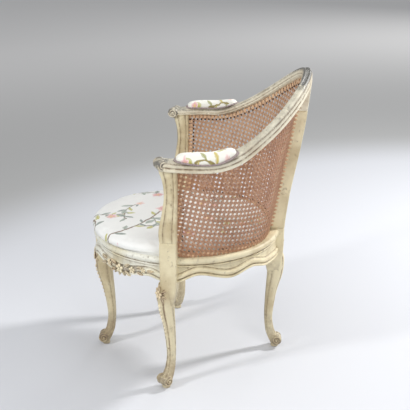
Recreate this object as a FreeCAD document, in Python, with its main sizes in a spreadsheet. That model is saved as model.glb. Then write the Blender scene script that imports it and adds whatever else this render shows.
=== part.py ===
"""Desk armchair: round drop-in seat, caned gondola back, four cabriole legs set in a diamond.

Millimetres, +Z up, the floor at z = 0, the sitter's left at +X and the back at +Y.
The round of the seat and the cone of the back share one vertical seat axis.
"""
import FreeCAD, Part
import Sketcher
import math
import os

DIMENSIONS = (
    ("seat_axis_y", -40.2, "seat axis, measured back from the middle of the chair's box"),
    ("rail_outer", 280, "radius of the seat rail's top bead"),
    ("rail_face", 273, "radius of the seat rail's frieze"),
    ("rail_inner", 232, "radius of the seat rail's inside"),
    ("rail_low", 322, "lowest edge of the seat rail before it is shaped"),
    ("rail_top", 408, "top of the seat rail"),
    ("bead_low", 391, "underside of the top bead"),
    ("bead_radius", 8.8, "radius of the top bead"),
    ("band_outer", 279, "radius of the lower moulding"),
    ("band_height", 13, "height of the lower moulding"),
    ("band_high", 382, "top of the ring that the lower moulding is cut from"),
    ("front_wave_leg_bearing", -84, "front rail's lower edge beside the front leg"),
    ("front_wave_leg_height", 326, "its height"),
    ("front_wave_rise_bearing", -66, "where it rises"),
    ("front_wave_rise_height", 347, "its height"),
    ("front_wave_lobe_bearing", -41, "its carved lobe"),
    ("front_wave_lobe_height", 333, "its height"),
    ("front_wave_crest_bearing", -20, "where it rises again"),
    ("front_wave_crest_height", 347, "its height"),
    ("front_wave_side_bearing", -10, "its end beside the side leg"),
    ("front_wave_side_height", 334, "its height"),
    ("back_wave_side_bearing", -5, "back rail's lower edge beside the side leg"),
    ("back_wave_side_height", 332, "its height"),
    ("back_wave_rise_bearing", 10, "where it rises"),
    ("back_wave_rise_height", 356, "its height"),
    ("back_wave_lobe_bearing", 30, "its lobe"),
    ("back_wave_lobe_height", 337, "its height"),
    ("back_wave_crest_bearing", 45, "where it rises again"),
    ("back_wave_crest_height", 351, "its height"),
    ("back_wave_fall_bearing", 62, "where it falls to the back leg"),
    ("back_wave_fall_height", 333, "its height"),
    ("back_wave_leg_bearing", 86, "its end beside the back leg"),
    ("back_wave_leg_height", 324, "its height"),
    ("ledge_top", 392, "ledge that carries the drop-in seat"),
    ("well_radius", 259.5, "radius of the well for the drop-in seat"),
    ("well_shift", -14, "centre of the well, forward of the seat axis"),
    ("side_bearing", -7.5, "bearing of the left leg's block from +X"),
    ("side_turn", -33, "turn of the side leg's knee towards the front"),
    ("leg_bearing", -9, "bearing of the left leg's shaft from +X"),
    ("front_leg_radius", 248, "front leg's shaft from the seat axis"),
    ("left_leg_radius", 260, "side leg's shaft from the seat axis"),
    ("back_leg_radius", 264, "back leg's shaft from the seat axis"),
    ("tenon_radius", 256, "middle of the rails' tenons from the seat axis"),
    ("block_inner", 232, "radius of the leg block's inside"),
    ("front_block_outer", 277, "radius of the front leg block's face"),
    ("side_block_outer", 290, "radius of the side leg block's face"),
    ("back_block_outer", 295, "radius of the back leg block's face"),
    ("front_block_width", 50, "width of the front leg block"),
    ("side_block_width", 44, "width of the side leg block"),
    ("back_block_width", 62, "width of the back leg block"),
    ("block_low", 318, "underside of the leg blocks"),
    ("post_top", 457, "top of the side leg, where the arm stump is joined on"),
    ("post_inner", 264.5, "radius of the side post's inner face"),
    ("tenon_length", 16, "length of a rail tenon"),
    ("tenon_thick", 12, "thickness of a tenon"),
    ("tenon_low", 350, "underside of a rail tenon"),
    ("tenon_height", 36, "height of a rail tenon"),
    ("peg_radius", 3.2, "radius of a joint peg"),
    ("peg_height", 368, "height of the rail pegs"),
    ("peg_depth", 40, "length of a rail peg"),
    ("leg_corner", 9, "rounding of the leg's edges"),
    ("knee_high_height", 326, "leg section inside the block"),
    ("knee_high_inset", 1, "how much smaller it is than the block"),
    ("side_knee_high", 41, "its depth and width on the side legs"),
    ("knee_height", 300, "fullest section of the knee"),
    ("knee_shift", 8, "its shift outwards"),
    ("knee_depth", 50, "its depth"),
    ("knee_width", 39, "its width"),
    ("calf_height", 252, "section below the knee"),
    ("calf_shift", 6, "its shift outwards"),
    ("calf_depth", 47, "its depth"),
    ("calf_width", 36, "its width"),
    ("shin_height", 198, "section at the middle of the leg"),
    ("shin_shift", -3, "its shift outwards"),
    ("shin_depth", 35, "its depth"),
    ("shin_width", 31, "its width"),
    ("ankle_high_height", 145, "section above the ankle"),
    ("ankle_high_shift", -9, "its shift outwards"),
    ("ankle_high_depth", 28, "its depth"),
    ("ankle_high_width", 27, "its width"),
    ("ankle_height", 95, "thinnest section of the leg"),
    ("ankle_shift", -11, "its shift outwards"),
    ("ankle_depth", 24, "its depth"),
    ("ankle_width", 24, "its width"),
    ("heel_height", 55, "section where the foot sweeps out"),
    ("heel_shift", -5, "its shift outwards"),
    ("heel_depth", 27, "its depth"),
    ("heel_width", 27, "its width"),
    ("instep_height", 30, "section above the scroll"),
    ("instep_shift", 7, "its shift outwards"),
    ("instep_depth", 34, "its depth"),
    ("instep_width", 30, "its width"),
    ("sole_height", 12, "lowest section of the foot"),
    ("sole_shift", 11, "its shift outwards"),
    ("sole_depth", 26, "its depth"),
    ("sole_width", 28, "its width"),
    ("scroll_radius", 16, "radius of the foot's scroll"),
    ("scroll_shift", 17, "centre of the scroll, outwards"),
    ("scroll_height", 25, "centre of the scroll above the floor"),
    ("scroll_width", 38, "width of the scroll"),
    ("pad_radius", 12, "radius of the pad under the foot"),
    ("pad_height", 14, "height of that pad"),
    ("pad_shift", 11, "centre of that pad, outwards"),
    ("cane_radius", 266, "radius of the back's cone at the top of the seat rail"),
    ("back_flare", 0.14, "outward lean of the back's cone"),
    ("cane_thick", 3, "thickness of the cane panel"),
    ("cane_pull", 14, "how far the cane draws in beside the upright, low down"),
    ("cane_pull_high", -6, "how far it draws in beside the upright, at the top: outwards"),
    ("cane_pull_reach", 36, "bearing over which it draws in"),
    ("cane_gap", 0.8, "clearance around the cane panel"),
    ("arm_height", 684, "middle of the top rail along the arms"),
    ("crest_height", 868, "middle of the top rail at the crest"),
    ("rise_start", 76, "bearing from the back where the top rail starts to rise"),
    ("arm_thick", 30, "height of the top rail along the arms"),
    ("crest_thick", 36, "height of the top rail at the crest"),
    ("arm_width", 50, "width of the top rail under the arm pads"),
    ("waist_width", 26, "width of the top rail between pad and crest"),
    ("crest_width", 27, "width of the top rail at the crest"),
    ("arm_outset", 5, "top rail's middle outside the cone, along the arms"),
    ("crest_outset", 18, "top rail's middle outside the cone, at the crest"),
    ("waist_reach", 40, "bearing from the back where the crest's width ends"),
    ("arm_width_start", 48, "bearing from the back where the rail widens under the pad"),
    ("arm_width_reach", 16, "bearing over which it widens"),
    ("arm_slant", 10, "how much higher the arm's inner lower edge is than its outer one"),
    ("crest_slant", 5, "the same at the crest"),
    ("edge_low", 4, "rounding of the top rail's lower edges"),
    ("edge_high", 8, "rounding of the top rail's upper edges"),
    ("crest_bearing", 32, "bearing from the back where crest and arm are joined"),
    ("arm_front", 100, "bearing from the back where the arm ends in its volute"),
    ("volute_radius", 17, "radius of the arm's volute"),
    ("volute_width", 42, "width of the arm's volute"),
    ("volute_height", 685, "centre of the volute above the floor"),
    ("volute_shift", -13, "centre of the volute, forward of the stump's middle"),
    ("dowel_radius", 4, "radius of the dowels in the top rail"),
    ("dowel_length", 36, "length of those dowels"),
    ("dowel_spread", 7, "distance of those dowels from the rail's middle"),
    ("stump_thick", 25.5, "radial thickness of the arm stump"),
    ("stump_lean", 0.06, "outward lean of the arm stump"),
    ("front_draw", 17, "how far the back's cone is drawn in at the arms' front ends"),
    ("front_draw_start", 70, "bearing from the back where that starts"),
    ("stump_corner", 6, "rounding of the stump's edges"),
    ("stump_rear", 22, "straight rear edge of the stump, behind its middle"),
    ("stump_foot_height", 457, "stump section on the leg"),
    ("stump_foot_front", 22, "its front edge, ahead of the stump's middle"),
    ("stump_belly_height", 492, "fullest section of the stump"),
    ("stump_belly_front", 22.5, "its front edge"),
    ("stump_neck_low_height", 545, "section below the neck"),
    ("stump_neck_low_front", 14.5, "its front edge"),
    ("stump_neck_height", 592, "thinnest section of the stump"),
    ("stump_neck_front", 9.5, "its front edge"),
    ("stump_neck_high_height", 635, "section above the neck"),
    ("stump_neck_high_front", 11, "its front edge"),
    ("stump_head_height", 676, "section inside the arm"),
    ("stump_head_front", 18, "its front edge"),
    ("stump_tenon_width", 22, "width of the stump's tenons"),
    ("stump_tenon_length", 22, "length of the stump's lower tenon"),
    ("arm_tenon_length", 20, "length of the stump's upper tenon above the arm's underside"),
    ("stump_peg_height", 446, "height of the pegs in the stump's lower tenon"),
    ("stump_peg_spread", 6, "distance of those pegs from the stump's middle"),
    ("upright_corner", 7, "rounding of the upright's edges"),
    ("upright_width", 60, "width of the upright"),
    ("upright_foot_height", 408, "upright section on the back leg"),
    ("upright_foot_radius", 272, "its middle"),
    ("upright_foot_depth", 46, "its depth"),
    ("upright_low_height", 510, "upright section above the seat"),
    ("upright_low_radius", 283, "its middle"),
    ("upright_low_depth", 48, "its depth"),
    ("upright_mid_height", 600, "upright section at mid height"),
    ("upright_mid_radius", 299, "its middle"),
    ("upright_mid_depth", 50, "its depth"),
    ("upright_high_height", 690, "upright section below the crest"),
    ("upright_high_radius", 317, "its middle"),
    ("upright_high_depth", 47, "its depth"),
    ("upright_joint_height", 768, "joint of the upright and the crest's tail"),
    ("upright_joint_radius", 330, "its middle"),
    ("upright_joint_depth", 43, "its depth"),
    ("upright_head_height", 862, "top of the crest's tail, inside the crest"),
    ("upright_head_radius", 348.5, "its middle"),
    ("upright_head_depth", 26, "its depth"),
    ("upright_tenon_width", 40, "width of the upright's tenons"),
    ("upright_tenon_length", 30, "length of the upright's lower tenon"),
    ("crest_tenon_length", 16, "length of the upright's upper tenon"),
    ("upright_peg_height", 394, "height of the pegs in the upright's lower tenon"),
    ("upright_peg_spread", 12, "distance of those pegs from the upright's middle"),
    ("seat_frame_outer", 256, "radius of the drop-in seat frame"),
    ("seat_frame_inner", 202, "inner radius of the drop-in seat frame"),
    ("seat_frame_low", 393.5, "underside of the drop-in seat frame"),
    ("seat_frame_top", 408.5, "top of the drop-in seat frame"),
    ("tongue_length", 40, "length of a loose tongue between two frame pieces"),
    ("tongue_width", 28, "width of a loose tongue"),
    ("tongue_thick", 5, "thickness of a loose tongue"),
    ("web_width", 50, "width of a webbing strap"),
    ("web_thick", 1.5, "thickness of a webbing strap"),
    ("web_pitch", 86, "distance between webbing straps"),
    ("web_circle", 248, "radius that the straps reach to on the frame"),
    ("base_cloth_thick", 1.2, "thickness of the base cloth"),
    ("cloth_gap", 0.3, "air between the straps and the base cloth"),
    ("base_cloth_radius", 252, "radius of the base cloth"),
    ("cover_side", 257.5, "radius of the seat cover at the rail"),
    ("cover_low", 392, "underside of the wrapped cover"),
    ("cover_tuck", 406, "height where the cover leaves the frame"),
    ("cover_bulge", 261, "widest radius of the seat cover"),
    ("cover_bulge_height", 417, "height of the widest part"),
    ("cover_shoulder", 246, "radius where the side turns into the crown"),
    ("cover_shoulder_height", 430, "height where the side turns into the crown"),
    ("cover_crown", 443, "top of the seat's crown"),
    ("cover_side_round", 30, "radius of the drawn-in side"),
    ("cover_edge_round", 14.2, "radius of the cushion's edge"),
    ("crown_flat", 20, "radius of the crown's level middle"),
    ("cover_crown_round", 2050, "radius of the crown"),
    ("stuffing_side", 256, "radius of the stuffing at the rail"),
    ("strap_top", 411.5, "top of the straps, under the base cloth"),
    ("stuffing_bulge", 259.5, "widest radius of the stuffing"),
    ("stuffing_shoulder", 245.2, "radius where the stuffing's side turns into the crown"),
    ("stuffing_shoulder_height", 428.6, "height where it turns"),
    ("stuffing_edge_round", 13.2, "radius of the stuffing's edge"),
    ("stuffing_crown", 441.5, "top of the stuffing's crown"),
    ("cover_return", 207, "inner radius of the cover's wrapped edge"),
    ("tack_radius", 4, "radius of a tack's head"),
    ("tack_head", 1.2, "height of a tack's head"),
    ("tack_shank", 1, "radius of a tack's shank"),
    ("tack_length", 10, "length of a tack's shank"),
    ("tack_circle", 212, "radius of the circle of tacks"),
    ("tack_count", 24, "number of tacks"),
    ("arm_pad_front", 92, "bearing from the back of the arm pad's front end"),
    ("arm_pad_rear", 61, "bearing from the back of the arm pad's rear end"),
    ("arm_pad_width", 40, "width of the arm pad"),
    ("arm_pad_height", 19, "height of the arm pad's crown"),
    ("arm_pad_end", 0.34, "size of the pad's end sections, as a part of the full one"),
    ("arm_pad_cloth", 1.5, "thickness of the arm pad's cover"),
    ("arm_pad_lift", 0.3, "glue line between the pad and the arm"),
    ("arm_pad_reach", 12, "degrees by which the arc of the hollow cut for a pad goes on below the pad's base"),
    ("gimp_width", 6, "width of the gimp around an arm pad"),
    ("gimp_height", 2.6, "height of the gimp"),
)
FRONT_WAVE = ("leg", "rise", "lobe", "crest", "side")
BACK_WAVE = ("side", "rise", "lobe", "crest", "fall", "leg")
LEG_STATIONS = ("knee", "calf", "shin", "ankle_high", "ankle", "heel", "instep", "sole")
STUMP_STATIONS = ("stump_foot", "stump_belly", "stump_neck_low", "stump_neck", "stump_neck_high", "stump_head")
UPRIGHT_STATIONS = ("upright_foot", "upright_low", "upright_mid", "upright_high", "upright_joint")
TAIL_STATIONS = ("upright_joint", "upright_head")
FRONT_BEARING = -90
BACK_BEARING = 90
SEAT_FRAME_JOINTS = (45, 135, 225, 315)
UP = FreeCAD.Vector(0, 0, 1)
TOP_RAIL_STEP = 6
CANE_STEPS = 9
CANE_EDGE_ROUNDS = 6
PAD_STEPS = 8

doc = FreeCAD.newDocument("desk_armchair")
dims = doc.addObject("Spreadsheet::Sheet", "dims")
for row, (name, value, note) in enumerate(DIMENSIONS, start=1):
    dims.set(f"A{row}", name)
    dims.set(f"B{row}", str(value))
    dims.setAlias(f"B{row}", name)
    dims.set(f"C{row}", note)
doc.recompute()
nodes = []


def size(name):
    """Returns the number in the sheet's cell of that name."""
    return float(getattr(dims, name))


def bind(obj, **cells):
    """Binds properties of an object to expressions of the sheet's cells."""
    for path, expression in cells.items():
        obj.setExpression(path.replace("__", "."), expression)


def node(obj, label):
    """Gives a finished sub-part the name that its file takes."""
    obj.Label = label
    nodes.append(obj)
    return obj


def place_on_axis(obj, bearing, height=0.0, radius=0.0):
    """Stands an object on the seat axis, turned to a bearing from +X and moved out by a radius."""
    turn = FreeCAD.Rotation(UP, bearing)
    out = turn.multVec(FreeCAD.Vector(radius, 0, 0))
    obj.Placement = FreeCAD.Placement(out + FreeCAD.Vector(0, size("seat_axis_y"), height), turn)
    return obj


def boolean(kind, name, base, tools):
    """Cuts several tools from a base, one after the other, or fuses all of them."""
    if kind == "cut":
        for index, tool in enumerate(tools):
            result = doc.addObject("Part::Cut", f"{name}_cut_{index}")
            result.Base = base
            result.Tool = tool
            base = result
        return base
    result = doc.addObject("Part::MultiFuse", name)
    result.Shapes = [base] + tools
    return result


def group(name, members):
    """Makes one object that holds several separate solids."""
    result = doc.addObject("Part::Compound", name)
    result.Links = members
    return result


def mirrored(source, label):
    """Makes the right-hand twin of a left-hand piece."""
    twin = doc.addObject("Part::Mirroring", label)
    twin.Source = source
    twin.Normal = FreeCAD.Vector(1, 0, 0)
    return node(twin, label)


def block(name, bearing, inner, outer, width, low, high):
    """Makes a block on the ring of the seat, from cells for its radii, width and heights."""
    box = doc.addObject("Part::Box", name)
    bind(box, Length=f"dims.{outer} - dims.{inner}", Width=f"dims.{width}",
         Height=f"dims.{high} - dims.{low}")
    turn = FreeCAD.Rotation(UP, bearing)
    corner = turn.multVec(FreeCAD.Vector(size(inner), -size(width) / 2, size(low)))
    box.Placement = FreeCAD.Placement(corner + FreeCAD.Vector(0, size("seat_axis_y"), 0), turn)
    return box


def cylinder(name, radius, length, base, direction):
    """Makes a round bar of a cell's radius from a base point along a direction."""
    bar = doc.addObject("Part::Cylinder", name)
    bind(bar, Radius=f"dims.{radius}", Height=f"dims.{length}")
    bar.Placement = FreeCAD.Placement(base, FreeCAD.Rotation(UP, direction))
    return bar


def origin_plane(body, role):
    """Finds one of a body's own origin planes."""
    return next(feature for feature in body.Origin.OriginFeatures if feature.Role == role)


def attached_sketch(body, name, role):
    """Makes a sketch on one of a body's own origin planes."""
    sketch = body.newObject("Sketcher::SketchObject", name)
    sketch.AttachmentSupport = [(origin_plane(body, role), "")]
    sketch.MapMode = "FlatFace"
    return sketch


def named_constraint(sketch, name, constraint, expression):
    """Adds a dimension to a sketch and binds it to an expression of the sheet's cells."""
    sketch.renameConstraint(sketch.addConstraint(constraint), name)
    sketch.setExpression(f"Constraints.{name}", expression)


def rounded_section(body, name, height, shift, depth, width, corner):
    """Makes a level sketch of a rounded rectangle, each size an expression of the sheet's cells."""
    sketch = attached_sketch(body, name, "XY_Plane")
    half, round_off = 20.0, 5.0
    inner = half - round_off
    corners = ((inner, -inner), (inner, inner), (-inner, inner), (-inner, -inner))
    ends = ((-inner, -half, inner, -half), (half, -inner, half, inner),
            (inner, half, -inner, half), (-half, inner, -half, -inner))
    for index, (line, (x, y)) in enumerate(zip(ends, corners)):
        sketch.addGeometry(Part.LineSegment(FreeCAD.Vector(*line[:2]), FreeCAD.Vector(*line[2:])), False)
        start = (index - 1) * math.pi / 2
        circle = Part.Circle(FreeCAD.Vector(x, y), UP, round_off)
        sketch.addGeometry(Part.ArcOfCircle(circle, start, start + math.pi / 2), False)
    rules = [Sketcher.Constraint("Tangent", edge, 2, (edge + 1) % 8, 1) for edge in range(8)]
    rules += [Sketcher.Constraint("Horizontal", 0), Sketcher.Constraint("Horizontal", 4)]
    rules += [Sketcher.Constraint("Vertical", 2), Sketcher.Constraint("Vertical", 6)]
    rules += [Sketcher.Constraint("Equal", arc, arc + 2) for arc in (1, 3, 5)]
    rules.append(Sketcher.Constraint("Symmetric", 0, 1, 4, 1, -1, 1))
    sketch.addConstraint(rules)
    named_constraint(sketch, "corner", Sketcher.Constraint("Radius", 1, round_off), corner)
    named_constraint(sketch, "depth", Sketcher.Constraint("DistanceX", 6, 1, 2, 1, 2 * half), depth)
    named_constraint(sketch, "width", Sketcher.Constraint("DistanceY", 0, 1, 4, 1, 2 * half), width)
    bind(sketch, AttachmentOffset__Base__z=height, AttachmentOffset__Base__x=shift)
    return sketch


def lofted_body(name, sections):
    """Lofts a body through level sections."""
    body = doc.addObject("PartDesign::Body", name)
    sketches = [rounded_section(body, f"{name}_{index}", *section) for index, section in enumerate(sections)]
    loft = body.newObject("PartDesign::AdditiveLoft", name + "_loft")
    loft.Profile = sketches[0]
    loft.Sections = sketches[1:]
    return body


def arc_through(start, end, radius):
    """Returns the short arc of a radius from start to end that turns to the left."""
    chord = end - start
    middle = (start + end) / 2
    rise = math.sqrt(radius ** 2 - (chord.Length / 2) ** 2)
    side = FreeCAD.Vector(-chord.y, chord.x, 0).normalize()
    centre = middle + side * rise
    first = math.atan2(start.y - centre.y, start.x - centre.x)
    last = math.atan2(end.y - centre.y, end.x - centre.x)
    return Part.ArcOfCircle(Part.Circle(centre, UP, radius), first, last)


def turned_body(name, outline, angle=360.0):
    """Turns a body about the seat axis from its outline of (radius, height, arc radius) cells.

    A radius of None is a point on the axis, and an arc radius of None is a straight edge to the next point.
    """
    body = doc.addObject("PartDesign::Body", name)
    sketch = attached_sketch(body, name + "_outline", "XZ_Plane")
    corners = [FreeCAD.Vector(size(across) if across else 0, size(up)) for across, up, _ in outline]
    for index, (across, up, arc) in enumerate(outline):
        start, end = corners[index], corners[(index + 1) % len(corners)]
        edge = arc_through(start, end, size(arc)) if arc else Part.LineSegment(start, end)
        sketch.addGeometry(edge, False)
    count = len(outline)
    for index, (across, up, arc) in enumerate(outline):
        sketch.addConstraint(Sketcher.Constraint("Coincident", index, 2, (index + 1) % count, 1))
        if across:
            named_constraint(sketch, f"across_{index}", Sketcher.Constraint(
                "DistanceX", -1, 1, index, 1, corners[index].x), f"dims.{across}")
        else:
            sketch.addConstraint(Sketcher.Constraint("PointOnObject", index, 1, -2))
        named_constraint(sketch, f"up_{index}", Sketcher.Constraint(
            "DistanceY", -1, 1, index, 1, corners[index].y), f"dims.{up}")
        if arc:
            named_constraint(sketch, f"arc_{index}", Sketcher.Constraint("Radius", index, size(arc)),
                             f"dims.{arc}")
    turned = body.newObject("PartDesign::Revolution", name + "_turned")
    turned.Profile = sketch
    turned.ReferenceAxis = (sketch, ["V_Axis"])
    turned.Angle = angle
    turned.Midplane = True
    return body


def smooth(value):
    """Eases a value from 0 to 1, level at both ends."""
    held = min(max(value, 0.0), 1.0)
    return held * held * (3 - 2 * held)


def cone_radius(height):
    """Returns the radius of the back's cone at a height."""
    return size("cane_radius") + size("back_flare") * (height - size("rail_top"))


def on_ring(radius, bearing, height):
    """Returns the point at a radius and a bearing from the back, towards the left, at a height."""
    angle = math.radians(bearing)
    return FreeCAD.Vector(radius * math.sin(angle), radius * math.cos(angle) + size("seat_axis_y"), height)


def crest_share(bearing):
    """Returns how far the top rail has risen towards the crest, from 0 to 1."""
    return smooth((size("rise_start") - abs(bearing)) / size("rise_start"))


def front_share(bearing):
    """Returns how far the back's cone is drawn in towards the arms' front ends, from 0 to 1."""
    return smooth((abs(bearing) - size("front_draw_start")) / (size("arm_front") - size("front_draw_start")))


def top_rail_point(bearing):
    """Returns the middle of the top rail at a bearing from the back."""
    share = crest_share(bearing)
    height = size("arm_height") + (size("crest_height") - size("arm_height")) * share
    outset = size("arm_outset") + (size("crest_outset") - size("arm_outset")) * share
    drawn = size("front_draw") * front_share(bearing)
    return on_ring(cone_radius(height) + outset - drawn, bearing, height)


def top_rail_frame(bearing):
    """Returns the top rail's middle, its outward and upward directions and its run at a bearing."""
    step = 0.05
    run = (top_rail_point(bearing + step) - top_rail_point(bearing - step)).normalize()
    angle = math.radians(bearing)
    out = FreeCAD.Vector(math.sin(angle), math.cos(angle), 0)
    out = (out - run * out.dot(run)).normalize()
    up = out.cross(run).normalize()
    return top_rail_point(bearing), out, up if up.z > 0 else -up, run


def top_rail_thick(bearing):
    """Returns the top rail's height at a bearing from the back."""
    return size("arm_thick") + (size("crest_thick") - size("arm_thick")) * crest_share(bearing)


def top_rail_width(bearing):
    """Returns the top rail's width, full under the pads and narrow between pad and crest."""
    crest = size("waist_width") + (size("crest_width") - size("waist_width")) * smooth(
        1 - abs(bearing) / size("waist_reach"))
    widened = smooth((abs(bearing) - size("arm_width_start")) / size("arm_width_reach"))
    return crest + (size("arm_width") - size("waist_width")) * widened


def top_rail_lift(bearing):
    """Returns how much higher the top rail's inner lower edge is than its outer one."""
    return size("arm_slant") + (size("crest_slant") - size("arm_slant")) * crest_share(bearing)


def top_rail_underside(bearing):
    """Returns the height of the top rail's outer lower edge at a bearing from the back."""
    centre, _, up, _ = top_rail_frame(bearing)
    return centre.z - top_rail_thick(bearing) / 2 / up.z


def rounded_wire(centre, out, up, width, low, high, lift, round_low, round_high):
    """Returns a rounded section in the plane of two directions, whose inner lower edge is lifted."""
    half = width / 2
    slant = 1 - math.sqrt(0.5)
    corners = ((-half, low + lift, 1, 1, round_low), (half, low, -1, 1, round_low),
               (half, high, -1, -1, round_high), (-half, high, 1, -1, round_high))

    def at(across, rise):
        return centre + out * across + up * rise

    arcs = []
    for index, (across, rise, inward, upward, radius) in enumerate(corners):
        beside = at(across + inward * radius, rise)
        above = at(across, rise + upward * radius)
        middle = at(across + inward * radius * slant, rise + upward * radius * slant)
        first, last = (above, beside) if index % 2 == 0 else (beside, above)
        arcs.append(Part.Arc(first, middle, last))
    edges = []
    for index, arc in enumerate(arcs):
        edges.append(arc.toShape())
        edges.append(Part.LineSegment(arc.EndPoint, arcs[(index + 1) % 4].StartPoint).toShape())
    return Part.Wire(edges)


def solid_feature(name, shape):
    """Makes an object of the document from a shape that is worked out from the sheet's cells."""
    feature = doc.addObject("Part::Feature", name)
    feature.Shape = shape
    feature.Placement = FreeCAD.Placement()
    return feature


def top_rail_span(name, start, end):
    """Lofts a stretch of the top rail between two bearings from the back."""
    count = max(2, round(abs(end - start) / TOP_RAIL_STEP))
    wires = []
    for index in range(count + 1):
        bearing = start + (end - start) * index / count
        centre, out, up, _ = top_rail_frame(bearing)
        half = top_rail_thick(bearing) / 2
        wires.append(rounded_wire(centre, out, up, top_rail_width(bearing), -half, half, top_rail_lift(bearing),
                                  size("edge_low"), size("edge_high")))
    return solid_feature(name, Part.makeLoft(wires, True, False))


def wave_prism(name, wave, stations, middle, low_lift, high_lift):
    """Makes a prism above a rail's wavy lower edge, up to the same edge lifted or to a level one."""
    heights = []
    for station in stations:
        angle = math.radians(size(f"{wave}_wave_{station}_bearing") - middle)
        heights.append((size("rail_outer") * math.sin(angle), size(f"{wave}_wave_{station}_height")))
    start_radius = size("rail_inner") / 4

    def edge(lift):
        points = [FreeCAD.Vector(start_radius, across, height + lift) for across, height in heights]
        curve = Part.BSplineCurve()
        curve.interpolate(points)
        return curve.toShape()

    low = edge(low_lift)
    left, right = low.Vertexes[0].Point, low.Vertexes[1].Point
    if high_lift is None:
        top = size("rail_top") + size("band_height")
        high_left = FreeCAD.Vector(left.x, left.y, top)
        high_right = FreeCAD.Vector(right.x, right.y, top)
        high = Part.LineSegment(high_left, high_right).toShape()
    else:
        high = edge(high_lift)
        high_left, high_right = high.Vertexes[0].Point, high.Vertexes[1].Point
    sides = [Part.LineSegment(left, high_left).toShape(), Part.LineSegment(right, high_right).toShape()]
    face = Part.Face(Part.Wire(Part.__sortEdges__([low, high] + sides)))
    return solid_feature(name, face.extrude(FreeCAD.Vector(size("rail_outer"), 0, 0)))


# Leg blocks, and the well for the drop-in seat
well = doc.addObject("Part::Cylinder", "seat_well")
bind(well, Radius="dims.well_radius", Height="dims.post_top")
well.Placement.Base = FreeCAD.Vector(0, size("seat_axis_y") + size("well_shift"), size("ledge_top"))
blocks = {
    "front": block("front_block", FRONT_BEARING, "block_inner", "front_block_outer", "front_block_width",
                   "block_low", "rail_top"),
    "left": block("left_block", size("side_bearing"), "block_inner", "side_block_outer", "side_block_width",
                  "block_low", "rail_top"),
    "back": block("back_block", BACK_BEARING, "block_inner", "back_block_outer", "back_block_width",
                  "block_low", "rail_top"),
}
left_post = block("left_post", size("side_bearing"), "post_inner", "side_block_outer", "side_block_width",
                  "tenon_low", "post_top")
bearings = {"front": FRONT_BEARING, "left": size("side_bearing"), "back": BACK_BEARING}


def rail_tenon(leg, side):
    """Makes a rail's tenon in a leg block, on the side of rising (+1) or falling (-1) bearing."""
    tenon = doc.addObject("Part::Box", f"{leg}_tenon_{'rising' if side > 0 else 'falling'}")
    overlap = size("tenon_thick")
    half = size(f"{leg}_block_width" if leg != "left" else "side_block_width") / 2
    bind(tenon, Length="dims.tenon_thick", Width="dims.tenon_length + dims.tenon_thick",
         Height="dims.tenon_height")
    near = half - size("tenon_length") if side > 0 else -half - overlap
    turn = FreeCAD.Rotation(UP, bearings[leg])
    inner = size("tenon_radius") - size("tenon_thick") / 2
    corner = turn.multVec(FreeCAD.Vector(inner, near, size("tenon_low")))
    tenon.Placement = FreeCAD.Placement(corner + FreeCAD.Vector(0, size("seat_axis_y"), 0), turn)
    return tenon


def rail_peg(leg, side):
    """Makes the peg that pins a rail's tenon in a leg block, driven in from the outside."""
    cell = "side" if leg == "left" else leg
    half = size(f"{cell}_block_width") / 2
    turn = FreeCAD.Rotation(UP, bearings[leg])
    start = turn.multVec(FreeCAD.Vector(size(f"{cell}_block_outer"), side * (half - size("tenon_length") / 2),
                                        size("peg_height")))
    return cylinder(f"{leg}_peg_{'rising' if side > 0 else 'falling'}", "peg_radius", "peg_depth",
                    start + FreeCAD.Vector(0, size("seat_axis_y"), 0), turn.multVec(FreeCAD.Vector(-1, 0, 0)))


joints = {(leg, side): (rail_tenon(leg, side), rail_peg(leg, side))
          for leg in blocks for side in (1, -1)}


def seat_rail(label, first, second):
    """Makes the seat rail that runs from one leg to the next one of rising bearing."""
    start, end = bearings[first], bearings[second]
    half_angle = (end - start) / 2
    middle = (start + end) / 2
    wave, stations = ("front", FRONT_WAVE) if first == "front" else ("back", BACK_WAVE)
    ring = turned_body(label + "_ring", (
        ("rail_inner", "rail_low", None), ("rail_face", "rail_low", None),
        ("rail_face", "bead_low", "bead_radius"), ("rail_face", "rail_top", None),
        ("rail_inner", "rail_top", None)), 2 * half_angle)
    band = turned_body(label + "_band", (
        ("tenon_radius", "rail_low", None), ("band_outer", "rail_low", None), ("band_outer", "band_high", None),
        ("tenon_radius", "band_high", None)), 2 * half_angle)
    above = wave_prism(label + "_above", wave, stations, middle, 0.0, None)
    strip = wave_prism(label + "_strip", wave, stations, middle, 0.0, size("band_height"))
    for piece in (ring, band, above, strip):
        place_on_axis(piece, middle)
    parts = []
    for piece, prism in ((ring, above), (band, strip)):
        shaped = doc.addObject("Part::Common", piece.Name + "_shaped")
        shaped.Base = piece
        shaped.Tool = prism
        parts.append(shaped)
    ends = [blocks[first], blocks[second], well]
    if "left" in (first, second):
        ends.append(left_post)
    moulded = boolean("fuse", label + "_moulded", parts[0], [parts[1]])
    trimmed = boolean("cut", label + "_trimmed", moulded, ends)
    tenons = [joints[(first, 1)][0], joints[(second, -1)][0]]
    pegs = [joints[(first, 1)][1], joints[(second, -1)][1]]
    return node(boolean("cut", label, boolean("fuse", label + "_tenoned", trimmed, tenons), pegs), label)


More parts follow.
